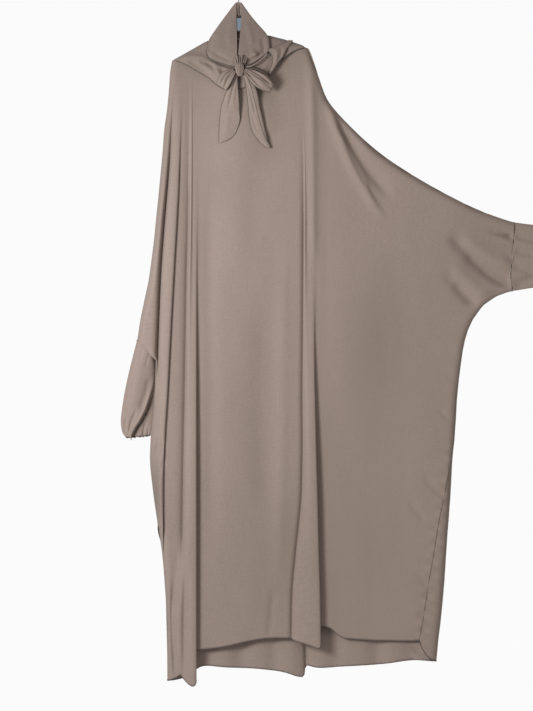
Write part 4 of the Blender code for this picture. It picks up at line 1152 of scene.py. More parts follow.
BACK_LEFT_ARCS = (0, 5, 14)
BACK_RIGHT_ARCS = (68, 53, 39, 26, 14, 4, 0)
BACK_CREASES = (
    (-5, 9, 12, (480, -598), (520, -640), (560, -668), (640, -722)),
    (-4, 9, 12, (470, -680), (520, -728), (575, -768)),
    (3.5, 9, 7, (216, -294), (240, -360), (276, -450), (330, -545)),
    (-3.5, 8, 10, (228, -318), (262, -384), (320, -450)),
    (-2.2, 5, 5, (606, -600), (628, -612), (650, -622)),
    (2.5, 10, 9, (-140, -210), (-120, -300), (-110, -420)),
    (2.2, 10, 9, (140, -190), (120, -280), (104, -400)),
    (-3, 14, 18, (-30, -230), (-20, -330), (-26, -470)),
    (-3, 12, 16, (40, -240), (46, -360), (60, -500)),
    (-2.6, 6, 7, (440, -1180), (462, -1214), (488, -1240)),
    (-2.4, 5, 6, (424, -1553), (448, -1584), (468, -1602)),
    (-3.5, 22, 26, (300, -800), (320, -900), (330, -1020)),
)
BACK_SEAM_REACH = 26
DEEPEST_HOLLOW = -6.0
# How far the back has swung forward at the hem, and the spans where it and the pleat grow
HEM_FORWARD = 20
HEM_SWING_SPAN = (-1430, 125)
# The back's fold that shows below the front: height, distance from the middle
BACK_PLEAT = ((-1380, 150), (-1500, 154), (-1560, 156.5), (-1645, 158))
PLEAT_PULL = 16
PLEAT_SPAN = (-1400, 130)
PLEAT_HEM_SPAN = (-1560, 60)
# How far its right layer stands back and is drawn up at the hem, and its left one stands
# out and hangs down
PLEAT_BACK = 5.0
PLEAT_RISE = 14
PLEAT_OUT = 2.5
PLEAT_DROP = 9


def fold_back_pleat(net):
    """The left layer of the back's pleat hangs lower and nearer than its right one."""
    line = smooth_through(BACK_PLEAT, net[..., 2])
    grown = grown_below(net[..., 2], PLEAT_SPAN)
    off = net[..., 0] - line
    near = np.clip(np.abs(off) / PLEAT_PULL, 0, 1)
    pulled = np.where(near < 1, off * near**0.8, off)
    net[..., 0] += (pulled - off) * grown
    right = (1 + np.tanh(pulled / 1.2)) / 2
    left = (1 - right) * bell(pulled, 26)
    net[..., 1] += grown * (PLEAT_BACK * right * bell(pulled, 40) - PLEAT_OUT * left)
    at_hem = grown_below(net[..., 2], PLEAT_HEM_SPAN)
    net[..., 2] += at_hem * (PLEAT_RISE * right * bell(pulled, 22) - PLEAT_DROP * left)
    return net


def back_hang(x, height):
    """Soft hanging folds of the back, which open towards the hem."""
    total = np.zeros(np.shape(x))
    drop = np.clip((-190 - height) / 1400, 0, 1)
    for at_top, at_hem, out, half_width in BACK_FOLDS:
        line = at_top + (at_hem - at_top) * drop
        total += out * ease(drop * 1.6) * bell(x - line, half_width)
    return total


def back_panel(drops, longest):
    """Points of the back, and 1 where they lie behind the side seams."""
    down = drops / drops[-1]
    corner = CUFF_ROW_DROP / drops[-1]
    left = []
    for arc in BACK_LEFT_ARCS:
        reach = inset(np.array(arc), BACK_DEPTH)
        top = np.interp(BACK_TOP[0][0] + reach, *np.array(BACK_TOP).T)
        height = top + (BACK_HEM[0][1] - top) * down
        left.append(np.stack([left_side(height) + reach, height], axis=-1))
    right = []
    depths = []
    hem_drop = FRONT_HEM[-1][1] - BACK_HEM[-1][1]
    for arc in BACK_RIGHT_ARCS:
        hem = BACK_HEM[-1][1]
        for _ in range(4):
            edge = right_edge(down, corner, hem)
            front_depth = edge_depth(edge[:, 1])
            turned = np.where(down > corner, arc_of(side_turn(edge[:, 1]), front_depth), 0)
            place = turned - SEAM_GAP / 2 - arc
            on_front = (down > corner) & (place > 0)
            reach = np.where(on_front, inset(place, front_depth), inset(-place, BACK_DEPTH))
            shown = reach[-1] / side_turn(edge[-1, 1]) if on_front[-1] else 0
            hem = BACK_HEM[-1][1] + hem_drop * min(shown, 1) ** 2
        right.append(beside_seam(edge, np.where(down > corner, reach, arc), down, corner))
        depths.append(np.where(on_front, -front_depth, BACK_DEPTH))
    middle = patch_between(left[-1], right[0], BACK_TOP + TOP_RIGHT[1:], BACK_HEM, down)
    flat = np.concatenate([np.stack(left, axis=1), middle, np.stack(right, axis=1)], axis=1)
    x, height = np.moveaxis(flat, -1, 0)
    depth = np.full(x.shape, float(BACK_DEPTH))
    depth[:, -len(right) :] = np.stack(depths, axis=1)
    outlines = outline_of_sides() + (BACK_TOP[:LEFT_SHOULDER], BACK_TOP[RIGHT_SHOULDER:])
    rise = edge_rise(distance_to(outlines, x, height))
    net = smooth_across(fill_grid(x, np.sign(depth) * SEAM_GAP / 2 + rise * depth, height), longest)
    x, _, height = np.moveaxis(net, -1, 0)
    rise = edge_rise(distance_to(outlines, x, height), BACK_SEAM_REACH)
    behind = np.clip(net[..., 1] / BACK_DEPTH, 0, 1)
    out = back_hang(x, height) + pressed(BACK_CREASES, x, height)
    swung = HEM_FORWARD * grown_below(height, HEM_SWING_SPAN)
    net[..., 1] += (np.maximum(out, DEEPEST_HOLLOW) - swung) * rise * behind
    net = fold_back_pleat(net)
    net[..., 1] -= seam_puckers(x, height) * (net[..., 1] < -1)
    nearest = SEAM_GAP / 2 - 0.6 * swung * rise
    net[..., 1] = np.where(behind > 0, np.maximum(net[..., 1], nearest), net[..., 1])
    return net, np.where(net[..., 1] > 0, 1, 0)


def fine_rows(longest):
    """How far down each row of the panels lies."""
    rows = [0.0]
    for start, end in zip(ROW_DROPS, ROW_DROPS[1:]):
        count = max(1, math.ceil((end - start) / longest))
        rows.extend(np.linspace(start, end, count + 1)[1:])
    return np.array(rows)


# The sleeve ends

# Columns: the two ends of the flat tube at this ring (x, z), and how far its front and its
# back stand out
LEFT_SLEEVE = (
    ((-236.7, -850.7), (-195.6, -894.7), 27, 9),
    ((-247, -890), (-193.6, -922), 25, 9),
    ((-260, -945), (-195, -966), 22, 9),
    ((-269, -992), (-197.4, -1005), 20, 9),
    ((-274.5, -1038), (-200.4, -1042), 18, 9),
    ((-271, -1064), (-203, -1064), 16, 8),
    ((-261, -1079), (-207, -1074), 14, 8),
)
RIGHT_SLEEVE = (
    ((651, -572), (647, -733), 10, 10),
    ((690, -577), (690, -726), 13, 11),
    ((740, -581.5), (743, -717), 16, 12),
    ((795, -590), (798, -707), 17, 13),
    ((842, -602), (843, -695), 16, 12),
    ((862, -609), (862, -688), 13, 10),
    ((878, -614), (877, -682), 11, 9),
)
# The edge of the left sleeve's front layer, which has slipped aside over the back layer
SLIPPED_EDGE = (
    (-1084, -251), (-1062, -244), (-1038, -229), (-1010, -215), (-975, -204), (-930, -194),
)
# Where the left sleeve's seam allowance ends under the arm, and the right seam's thread that shows
UNDERARM_SEAM_END = (
    (-195.4, -2, -892), (-194.6, -2, -899), (-193.8, -2, -907), (-193.4, -2, -917),
)
CUFF_SEAM_THREAD = (
    (-652, 647), (-664, 645.5), (-673, 642), (-684, 642.5), (-694, 640), (-704, 641.5),
)
LEFT_SLEEVE_CREASES = (
    (-1.4, 4, 4, (-204, -874), (-211, -890), (-216, -914)),
    (-1.2, 4, 4, (-220, -858), (-226, -876), (-231, -898)),
    (2.4, 14, 14, (-228, -890), (-238, -950), (-250, -1020)),
    (-3.4, 7, 9, (-206, -930), (-216, -975), (-232, -1020)),
    (-3.4, 3, 4, (-236, -1012), (-250, -1040), (-257, -1074)),
    (-3, 3, 3, (-262, -1030), (-266, -1050), (-266, -1072)),
    (-2.6, 3, 3, (-216, -1040), (-220, -1058), (-222, -1076)),
)
RIGHT_SLEEVE_CREASES = (
    (-6, 10, 13, (648, -726), (676, -712), (712, -692)),
    (-3.4, 6, 8, (650, -604), (680, -612), (720, -618)),
    (-3, 6, 7, (650, -640), (672, -646), (704, -650)),
    (-3, 6, 7, (648, -676), (668, -684), (694, -690)),
    (-5, 9, 12, (756, -594), (780, -622), (798, -664)),
    (4, 10, 10, (732, -598), (756, -632), (772, -680)),
)
SLIP_SPAN = (-950, 50)
# How far the slipped edge rolls out and the cloth beside it sinks, and the share of its depth
# that the front loses past the edge, where the back layer shows
SLIP_ROLL = 4
SLIP_GAP = 5
SLIP_SHARE = 0.72
SLEEVE_RINGS = 64
SLEEVE_SIDES = 144
# 1 gives the tube round sides, less gives it flatter faces
SLEEVE_ROUNDNESS = 0.7
SEAM_BOW_RINGS = 3
CUFF_REACH = 42
GATHERS = 15
# The least and the most of each gather: shift from its even place, how far out, width, reach
# as a share of the cuff's, lean
CUFF_SHIFTS = (-0.12, 0.12)
CUFF_HEIGHTS = (1.6, 3.2)
CUFF_WIDTHS = (0.09, 0.15)
CUFF_REACHES = (0.4, 1.0)
CUFF_LEANS = (-0.006, 0.006)
# How far the elastic draws the cuff in. It draws the edge up between the gathers too: by what
# share of their height, and over how many rings
CUFF_DRAWN_IN = 1.2
EDGE_DRAWN_UP = 1.1
EDGE_RINGS = 9
LEFT_CUFF_SEED = 5
RIGHT_CUFF_SEED = 8


def cuff_gathers(turns, up, seed):
    """Uneven gathers of the elastic: how far out at each turn round and distance from the edge."""
    rng = np.random.default_rng(seed)
    total = np.zeros(np.broadcast(turns, up).shape)
    for middle in circle(GATHERS) + rng.uniform(*CUFF_SHIFTS, GATHERS):
        out = rng.uniform(*CUFF_HEIGHTS)
        width = rng.uniform(*CUFF_WIDTHS)
        reach = rng.uniform(*CUFF_REACHES) * CUFF_REACH
        lean = rng.uniform(*CUFF_LEANS)
        off = np.angle(np.exp(1j * (turns - middle - lean * up)))
        total += out * bell(off, width) * (1 - ease(up / reach))
    return total - CUFF_DRAWN_IN * (1 - ease(up / CUFF_REACH))


def uneven_edge(points, gathers):
    """The sleeve with its gathers pressed in, and its elastic edge drawn up between them."""
    points = points + normals_of(points, True) * gathers[..., None]
    from_edge = np.arange(len(points)) - len(points)
    near_edge = ease((from_edge + EDGE_RINGS) / EDGE_RINGS)[:, None, None]
    inward = unit(points[-8] - points[-1])
    drawn = EDGE_DRAWN_UP * (gathers[-1] - gathers[-1].mean())
    return points - near_edge * inward * drawn[:, None]


def sleeve_tube(rings, seam, seed):
    """A flattened tube from the seam's curve through the rings, gathered by elastic at its end."""
    seam = np.array(seam, float)
    table = [(*start, *end, front, back) for start, end, front, back in rings]
    fine = fine_table(table, SLEEVE_RINGS)
    start, end = fine[:, 0:2], fine[:, 2:4]
    turns = circle(SLEEVE_SIDES)
    place = (1 - np.cos(turns)) / 2
    bow = along(seam, place) - seam[0] - place[:, None] * (seam[-1] - seam[0])
    ring = np.linspace(0, len(rings) - 1, SLEEVE_RINGS)
    bowed = np.maximum(0, 1 - ring / SEAM_BOW_RINGS)
    flat = start[:, None] + place[:, None] * (end - start)[:, None] + bow * bowed[:, None, None]
    bend = np.sign(np.sin(turns)) * np.abs(np.sin(turns)) ** SLEEVE_ROUNDNESS
    out = np.where(np.sin(turns) > 0, fine[:, 4:5], fine[:, 5:6])
    middles = (start + end) / 2
    from_end = np.linalg.norm(middles - middles[-1], axis=1)
    points = fill_grid(flat[..., 0], -out * bend, flat[..., 1])
    return points, cuff_gathers(turns[None], from_end[:, None], seed)


def left_sleeve():
    """The hanging sleeve's end, its front layer slipped aside over the back layer."""
    points, gathers = sleeve_tube(LEFT_SLEEVE, LEFT_SLEEVE[0][:2], LEFT_CUFF_SEED)
    x, y, z = np.moveaxis(points, -1, 0)
    off = x - smooth_through(SLIPPED_EDGE, z)
    grown = grown_below(z, SLIP_SPAN)
    past = ease((off + 1) / 3) * grown
    rolled = SLIP_ROLL * bell(off + 3.5, 3.5) * grown
    gap = SLIP_GAP * bell(off - 3.5, 3) * grown
    slipped = y * (1 - SLIP_SHARE * past) - rolled + gap - pressed(LEFT_SLEEVE_CREASES, x, z)
    points[..., 1] = np.where(y < 0, slipped, y)
    return uneven_edge(points, gathers)


def right_sleeve():
    points, gathers = sleeve_tube(RIGHT_SLEEVE, heights_first(CUFF_SEAM), RIGHT_CUFF_SEED)
    points[..., 1] *= 1 + pressed(RIGHT_SLEEVE_CREASES, points[..., 0], points[..., 2]) / 10
    return uneven_edge(points, gathers)


# The hood

# Columns: height, left side, left edge of the slit, right edge, right side, depth of the front,
# depth of the back
HOOD_SECTIONS = (
    (-54.5, -4.5, -2.4, 6.5, 9, 5, 5),
    (-68, -15, -2.8, 8.6, 18.5, 8, 6.5),
    (-87, -29, -2.9, 9, 32, 12, 8),
    (-106, -43, -2.6, 8, 48, 16, 10.5),
    (-125, -56, -2, 6.2, 65, 21, 12.6),
    (-134, -62, -1.7, 5.4, 73, 23, 13),
    (-146, -70, -1.4, 4.2, 75.5, 25.5, 13),
    (-163, -72, -1.2, 2.6, 77, 30, 13),
    (-182, -74, -1.2, 1.6, 79, 35, 13),
    (-212, -75, -1, 1.8, 80, 40, 13),
)
# The seam between the two halves at the back, the height of the top, and each side's own columns
# in the table above: its side and its edge of the slit
HOOD_SEAM = 3.2
HOOD_TOP = -55
HOOD_SIDE_COLUMNS = {"left": (1, 2), "right": (4, 3)}
# Columns round each half: share of the way from slit to side, share of the depth (less than 0
# at the back), height of its foot on the left and on the right half
HOOD_COLUMNS = (
    (0.00, 1, -208, -208), (0.14, 1, -207, -207), (0.35, 0.98, -203, -203),
    (0.60, 0.95, -196.5, -191), (0.82, 0.90, -190, -179), (0.97, 0.84, -184, -168),
    (1.00, 0.74, -168, -152), (1.00, 0.40, -140, -124), (1.00, -0.4, -139, -123),
    (0.93, -0.9, -143, -129), (0.70, -1, -151, -143), (0.40, -1, -156, -152),
    (0.06, -1, -158, -158),
)
HOOD_ROWS = 64
HOOD_CREASES = {
    "left": (
        (-2.6, 5, 6, (-12, -198), (-34, -186), (-60, -170)),
        (1.2, 5, 5, (-8, -204), (-24, -196), (-44, -188)),
        (-3, 5, 6, (-56, -128), (-64, -150), (-68, -176)),
        (1.6, 9, 9, (-10, -90), (-16, -120), (-20, -160)),
    ),
    "right": (
        (-2.6, 4, 5, (12, -203), (34, -192), (56, -176), (70, -164)),
        (3.2, 5, 5, (12, -197), (24, -186), (38, -180), (50, -172)),
        (4.5, 6, 5, (30, -174), (40, -176), (48, -181)),
        (-2, 4, 4, (9, -190), (20, -178), (34, -170)),
        (-2.4, 5, 7, (57, -136), (60, -156), (62, -180)),
        (1.8, 7, 7, (20, -100), (30, -130), (36, -160)),
    ),
}


def hood_half(side):
    """One side of the hood, from the slit round the side to the middle of the back."""
    net = np.zeros((HOOD_ROWS, len(HOOD_COLUMNS), 3))
    middle = HOOD_SEAM + (-SEAM_GAP / 2 if side == "left" else SEAM_GAP / 2)
    for index, (part, depth, left_end, right_end) in enumerate(HOOD_COLUMNS):
        end = left_end if side == "left" else right_end
        height = np.linspace(0, 1, HOOD_ROWS) * (end - HOOD_TOP) + HOOD_TOP
        outer, slit, out = (
            read_column(HOOD_SECTIONS, column, height)
            for column in (*HOOD_SIDE_COLUMNS[side], 5 if depth > 0 else 6)
        )
        inner = slit if depth > 0 else middle
        net[:, index] = fill_grid(inner + part * (outer - inner), -depth * out, height)
    net[:, -1, 0] = middle
    points = smooth_across(net, 3)
    front = ease(-points[..., 1] / 8)
    points[..., 1] -= pressed(HOOD_CREASES[side], points[..., 0], points[..., 2]) * front
    return points


# The cowl

# Columns: upper edge (x, z), lower edge (x, z), depth of the upper edge, depth of the lower edge
LEFT_COWL = (
    ((-149, -188.8), (-146, -192), 7.5, 12),
    ((-136, -181.2), (-131, -195), 2, 15),
    ((-116, -169.8), (-108, -208), 0.2, 18),
    ((-94, -157.3), (-84, -223), 0.2, 21),
    ((-80, -149.3), (-70, -231), 0.2, 23),
    ((-70, -143.6), (-62, -237), 0.2, 25),
    ((-66, -152), (-56, -244), 8.5, 26.5),
    ((-56, -163), (-46, -252), 12.5, 28),
    ((-38, -178), (-28, -263), 18, 31),
    ((-16, -190), (-12, -263), 25, 32),
    ((1.8, -196), (3.4, -258), 28, 32),
)
RIGHT_COWL = (
    ((3.2, -196), (4.8, -258), 28, 32),
    ((20, -190), (24, -254), 25, 32),
    ((38, -180), (46, -248), 19, 31),
    ((56, -166), (64, -235), 12.5, 28),
    ((66, -146), (72, -226), 9.5, 26.5),
    ((68.4, -129.8), (78, -219), 0.2, 25),
    ((80, -133.6), (87, -208), 0.2, 23),
    ((94, -137.2), (99, -194), 0.2, 21),
    ((112, -143), (117, -178), 0.2, 18),
    ((134, -148), (138, -165), 1, 15),
    ((156, -157), (156, -161), 7.5, 12),
)
COWL_ROWS = 34
COWL_CURL = 7
# How far the band swells between its edges, and the radius of its round upper edge over the
# arm. Then its turned edge: places up it, as shares, and how far behind the front they lie
COWL_SWELL = 2
COWL_OVER_ARM = 8.0
COWL_TURNED_PLACES = (0.1, 0.5, 1)
COWL_TURNED_DEPTHS = (1.6, 2.6, 2.8)
LEFT_COWL_CREASES = (
    (4.6, 5, 7, (-136, -184), (-114, -182), (-92, -184), (-68, -192)),
    (-4, 5, 7, (-118, -193), (-94, -206), (-72, -222)),
    (3.6, 5, 6, (-88, -202), (-70, -212), (-52, -230), (-42, -246)),
    (-4.6, 5, 5, (-92, -190), (-74, -196), (-60, -204), (-48, -218)),
    (3.6, 5, 5, (-60, -200), (-46, -220), (-34, -246)),
    (-3, 5, 5, (-40, -206), (-30, -226), (-22, -250)),
    # the gap under the hood's edge
    (-9, 4, 4, (-74, -184), (-60, -190), (-44, -197), (-26, -204), (-8, -208), (10, -210)),
)
RIGHT_COWL_CREASES = (
    (-5, 4, 5, (30, -206), (48, -198), (66, -184), (76, -172)),
    (-2.2, 5, 6, (26, -214), (48, -204), (70, -186)),
    (2.2, 5, 6, (30, -230), (52, -220), (72, -204)),
    (2, 5, 5, (92, -160), (108, -160), (128, -158)),
    (-2, 4, 5, (88, -176), (104, -170), (122, -162)),
)


def cowl(table, creases):
    """A slack band whose lower edge is turned under."""
    net = []
    part = np.linspace(0, 1, COWL_ROWS) ** 1.4
    for upper, lower, top_out, low_out in table:
        upper = np.array(upper, float)
        lower = np.array(lower, float)
        length = np.hypot(*(lower - upper))
        place = upper + part[:, None] * (lower - upper)
        clear = np.clip(length / 30, 0.1, 1)
        climb = min(COWL_OVER_ARM, low_out - top_out)
        over_arm = climb * edge_rise(part * length, COWL_OVER_ARM)
        out = top_out + over_arm + (low_out - top_out - over_arm[-1]) * np.sin(math.pi / 2 * part)
        out += COWL_SWELL * clear * np.sin(math.pi * part)
        curl = np.minimum(COWL_CURL, length * 0.3)
        back = (upper - lower) / max(length, 1e-6)
        under = lower + back * curl * np.array(COWL_TURNED_PLACES)[:, None]
        under_out = low_out - np.array(COWL_TURNED_DEPTHS) * clear
        flat = np.concatenate([place, under])
        net.append(fill_grid(flat[:, 0], -np.concatenate([out, under_out]), flat[:, 1]))
    points = smooth_across(np.array(net).transpose(1, 0, 2), 3)
    free = np.concatenate([np.sin(math.pi * np.clip(part, 0, 1) ** 0.8), np.zeros(3)])[:, None]
    points[..., 1] -= pressed(creases, points[..., 0], points[..., 2]) * free
    return points


# The tie

# Columns: height, left edge, right edge, depth at the left and at the right, and how much of the
# width is folded back over the front at the right
NECK_FOLD = (
    (-143.5, 121, 127, 11, 10.5, 0),
    (-147, 114, 128, 13, 11.5, 0),
    (-153, 102, 124, 19, 16.4, 0),
    (-160, 86, 118, 24.5, 19.8, 0),
    (-167, 71, 114, 29.4, 22.5, 0),
    (-174, 77, 110, 29.6, 24.5, 0),
    (-184, 82, 105, 30, 26, 0),
    (-198, 82, 94, 30.5, 28, 0),
    (-212, 77, 85, 30, 29, 0),
    (-224, 73, 76.5, 29, 29, 0),
)
LEFT_TAIL = (
    (-220.2, -6.4, 0.5, 45, 43.4, 0),
    (-228, -11, 0, 45, 45.5, 0),
    (-238, -15, 0, 44, 46, 0.2),
    (-251, -20, 1, 41, 44, 0.25),
    (-270, -28, 2.5, 38, 42, 0.2),
    (-301, -38, 4.8, 35, 38, 0.12),
    (-328, -41.8, 4, 33, 35, 0),
    (-352, -43.2, -1.5, 32, 33, 0),
    (-368, -43.8, -9.5, 32, 33, 0),
    (-378, -44, -21, 32, 33, 0),
    (-385, -44, -38, 32, 32, 0),
)
RIGHT_TAIL = (
    (-220.6, 7.6, 14.8, 43.9, 44.7, 0),
    (-229, 13.5, 24, 44, 45.5, 0),
    (-240, 17, 33, 42, 45, 0.5),
    (-262, 21, 45.5, 37, 42, 0.5),
    (-298, 25, 52, 33, 36.5, 0.35),
    (-325, 27, 58, 34, 36, 0.28),
    (-345, 30.5, 62.5, 34.5, 35.5, 0.24),
    (-362, 37, 66, 34.8, 35, 0.2),
    (-378, 48, 69.5, 34.5, 34.5, 0.15),
    (-390, 60, 73, 33.8, 33.8, 0),
    (-398, 72, 76, 33, 33, 0),
)
LEAF_COLUMNS = (0.0, 0.2, 0.42, 0.62, 0.8, 0.93)
LEAF_ROWS = 56
LEAF_PUFF = 1.5


def leaf(table, creases=()):
    """A leaf of cloth read from its sections, folded over its right side where the table says."""
    net = []
    for height, left, right, left_out, right_out, folded in fine_table(table, LEAF_ROWS):
        width = right - left
        row = []
        for part in LEAF_COLUMNS:
            puff = LEAF_PUFF * math.sin(math.pi * part)
            out = left_out + (right_out - left_out) * part * 0.6 + puff
            row.append((left + width * part, out, height))
        turned = float(ease(folded / 0.1))
        step = 1.0 + 2.2 * turned
        front = right_out + 2.0 * turned
        row.append((right, right_out * 0.4 + left_out * 0.4 + front * 0.2, height))
        row.append((right - width * folded * 0.1, front - step * 0.2, height + 0.4))
        middle = right - width * folded * 0.55 + 0.6 * (1 - turned)
        row.append((middle, front + step * (0.35 * turned - 0.1), height + 0.4 + 0.4 * turned))
        last = right - width * folded + 1.2 * (1 - turned)
        row.append((last, front + step * (0.4 * turned - 0.1), height + 0.6 + 0.6 * turned))
        net.append([(x, -out, z) for x, out, z in row])
    points = smooth_across(np.array(net, float), 2.0)
    points[..., 1] -= pressed(creases, points[..., 0], points[..., 2])
    return points


NECK_FOLD_CREASES = (
    (2.2, 3, 4, (84, -164), (92, -176), (90, -200)),
    (-1.8, 3, 4, (100, -158), (102, -172), (96, -188)),
)
LEFT_TAIL_CREASES = (
    (-1.8, 2.5, 3.5, (-4, -232), (-10, -256), (-17, -284), (-24, -308)),
    (1.6, 3, 3, (-9, -236), (-18, -262), (-26, -290)),
    (-1.2, 3, 3, (-1, -246), (-3, -270), (-6, -296)),
    (1, 6, 6, (-20, -310), (-24, -340), (-28, -368)),
)
RIGHT_TAIL_CREASES = (
    (-1.6, 2.5, 3, (17, -236), (27, -262), (36, -296), (44, -330)),
    (1.2, 3, 3, (22, -250), (31, -286), (38, -318)),
    (-1, 3, 3, (30, -300), (40, -340), (52, -368)),
)

# The bow's loops. Columns: middle of the band (x, z), half width, how far out it stands
RIGHT_LOOP = (
    ((16.4, -216), 5, 51), ((29, -224), 11, 54), ((44, -236), 17, 56), ((60, -245), 17, 53),
    ((73, -254), 13.5, 47), ((81, -258), 11, 42), ((82, -257), 10.5, 37), ((75, -248), 12, 35),
    ((60, -232), 14, 37), ((42, -222), 12, 40), ((27, -216), 8, 43), ((16.4, -213), 5, 45),
)
LEFT_LOOP = (
    ((-8, -217), 5, 51), ((-17, -222), 11, 55), ((-24, -229), 15, 57), ((-30, -239), 15.5, 55),
    ((-35, -249), 14.5, 51), ((-38.5, -256), 13, 46), ((-37.5, -254), 12.5, 42),
    ((-32, -245), 13, 40),
    ((-26, -235), 13, 40), ((-18, -225), 10, 41), ((-12, -219), 7, 43), ((-8, -215), 4.5, 45),
)
LOOP_ROWS = 33
LOOP_SWELL = 1.5
# The pleats at the knot: how many, how high, and how far round the loop they reach. Away from
# them the band is slack
PLEATS = 3.5
LOOP_PLEAT_HEIGHT = 1.8
LOOP_PLEAT_REACH = 0.42
LOOP_SLACK = 0.8

LEFT_LOOP_CREASES = (
    (-3.6, 1.5, 2.4, (-9, -216), (-22, -222), (-33, -234), (-40, -250)),
    (-3, 1.4, 2, (-9, -220), (-20, -232), (-28, -246), (-32, -256)),
    (2, 2.6, 2.6, (-12, -218), (-26, -230), (-36, -244)),
)
RIGHT_LOOP_CREASES = (
    (-4.6, 1.6, 3, (18, -212), (34, -219), (52, -229), (70, -243), (84, -253)),
    (-3.2, 1.5, 2.4, (18, -218), (30, -232), (44, -246), (56, -256)),
    (2.4, 3.2, 3.2, (24, -220), (44, -234), (66, -248)),
)


def loop(table, slope, phase, creases):
    """A band bent into a loop and pleated at the knot. slope is the direction across it."""
    x, z, half_width, out = np.array([(*middle, half, out) for middle, half, out in table], float).T
    place = np.linspace(-1, 1, LOOP_ROWS)[:, None]
    across = half_width * place
    x = x + math.cos(math.radians(slope)) * across
    z = z + math.sin(math.radians(slope)) * across
    swell = LOOP_SWELL * (1 - place * place)
    points = smooth_across(fill_grid(x, -out - swell, z), 2)
    round_it = np.linspace(0, 1, points.shape[1])[None]
    near_knot = 1 - ease(np.minimum(round_it, 1 - round_it) / LOOP_PLEAT_REACH)
    wave = np.cos(math.pi * (PLEATS * place + phase + 0.6 * round_it))
    slack = LOOP_SLACK * np.sin(math.pi * (2.2 * place + 3.1 * round_it + phase))
    lift = LOOP_PLEAT_HEIGHT * near_knot * wave + slack * (1 - near_knot)
    lift = lift * (1 - 0.5 * place * place)
    points = points + normals_of(points) * lift[..., None]
    dent = pressed(creases, points[..., 0], points[..., 2])
    points[..., 1] -= dent * (1 - ease((round_it - 0.38) / 0.12))
    return points


KNOT_MIDDLE = (4.4, -50.5, -215.0)
KNOT_RADII = (11.0, 8.5, 15.0)
KNOT_SIDES = 96
KNOT_RINGS = 60
# Its width in radii at the top, how much of that it loses at its foot, and how square it is:
# 1 for a ball, less for flatter sides
KNOT_TOP_WIDTH = 1.08
KNOT_PINCH = 0.42
KNOT_ROUNDNESS = 0.55
# Grooves of the wrap, in shares of its size: place across at its top and foot, width, depth
KNOT_GROOVES = (
    (-0.62, -0.25, 0.10, 0.30), (-0.12, 0.06, 0.08, 0.24),
    (0.42, 0.22, 0.09, 0.32), (0.85, 0.5, 0.1, 0.2),
)


def knot(finish):
    """The tie's wrap: a short upright band, broad at its top and pinched at its foot."""
    tilt = np.linspace(0.05, math.pi - 0.05, KNOT_RINGS)[:, None]
    turn = circle(KNOT_SIDES)[None]
    low = (1 - np.cos(tilt)) / 2
    across = np.cos(turn)
    boxy = np.sin(tilt) ** KNOT_ROUNDNESS
    width = boxy * (KNOT_TOP_WIDTH - KNOT_PINCH * low**1.5)
    swell = 1 + 0.03 * np.sin(4 * low * math.pi + 2 * across)
    for top, foot, half, deep in KNOT_GROOVES:
        swell = swell - deep * bell(across - top - (foot - top) * low, half)
    x = KNOT_MIDDLE[0] + KNOT_RADII[0] * width * across + 1.4 * low
    y = KNOT_MIDDLE[1] + KNOT_RADII[1] * boxy * np.sin(turn) * swell * (1 - 0.3 * low**2)
    z = KNOT_MIDDLE[2] + KNOT_RADII[2] * np.cos(tilt) + 1.2 * across * (1 - low)
    faces = tube_faces(KNOT_RINGS, KNOT_SIDES)
    piece = new_piece("tie_wrap", fill_grid(x, y, z), faces, finish)
    lay_cut_map(piece, *np.broadcast_arrays(turn * 0.011, tilt * 0.012))
    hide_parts("tie_knot")


GATHER_MIDDLE = (7.5, -40.0, -193.0)
GATHER_SIZE = (33, 21)
GATHER_ROWS = 34
GATHER_POINTS = 161
GATHER_TAPER = 0.45
# Waves of the ruffle: place across, half width, how far out and how far up it stands
GATHER_WAVES = (
    (0.05, 0.07, 4, -1.5), (0.22, 0.06, 7.6, 2.2), (0.40, 0.065, 5.6, 0.4), (0.59, 0.06, 8, 2.4),
    (0.78, 0.06, 6.2, -0.4), (0.95, 0.06, 6, -2),
)


def gathers():
    """The ruffle above the knot, where the tie draws the hood's edges together."""
    part = np.linspace(0, 1, GATHER_POINTS)[None]
    down = np.linspace(0, 1, GATHER_ROWS)[:, None]
    out = up = 0
    for place, half, wave_out, wave_up in GATHER_WAVES:
        bulge = bell(part - place - 0.02 * np.sin(5 * down), half)
        out = out + wave_out * bulge
        up = up + wave_up * bulge
    curl = np.cos(math.pi / 2 * down) ** 0.8
    full = 0.3 + 0.7 * np.sin(math.pi * np.clip(down * 1.15, 0, 1))
    x = GATHER_MIDDLE[0] + (part - 0.5) * GATHER_SIZE[0] * (1 - GATHER_TAPER * down)
    y = GATHER_MIDDLE[1] + 3 - out * full - 6 * down
    z = GATHER_MIDDLE[2] + (0.5 - down) * GATHER_SIZE[1] + up * curl
    return fill_grid(x, y, z)


TIE_BAND = (
    (19, -207, 45), (30, -206, 43.5), (42, -200.5, 41), (54, -192, 38.5), (64, -183, 36.5),
    (70, -177, 35.5),
)
TIE_BAND_RADIUS = 1.3


def tie_band():
    """The narrow band that runs on from the knot to the right, as a flat rolled ribbon."""
    path = fine_table([(x, -out, z) for x, z, out in TIE_BAND], 40)
    ahead = unit(np.gradient(path, axis=0))
    across = unit(np.cross(ahead, (0.0, -1.0, 0.0)))
    turns = circle(20)
    reach = np.arange(len(path)) / len(path)
    wide = TIE_BAND_RADIUS * (1.15 + 0.12 * np.sin(9 * reach))[:, None, None]
    flat = np.cos(turns)[:, None] * across[:, None] * wide
    dent = 1 - 0.35 * bell(np.cos(turns), 0.35)
    thick = (np.sin(turns) * dent)[:, None] * np.array((0, -0.9 * TIE_BAND_RADIUS, 0))
    return path[:, None] + flat + thick


# The label

LABEL_HALF_WIDTH = 9
LABEL_HEIGHTS = (-91, -121)
LABEL_BACK = 1.7
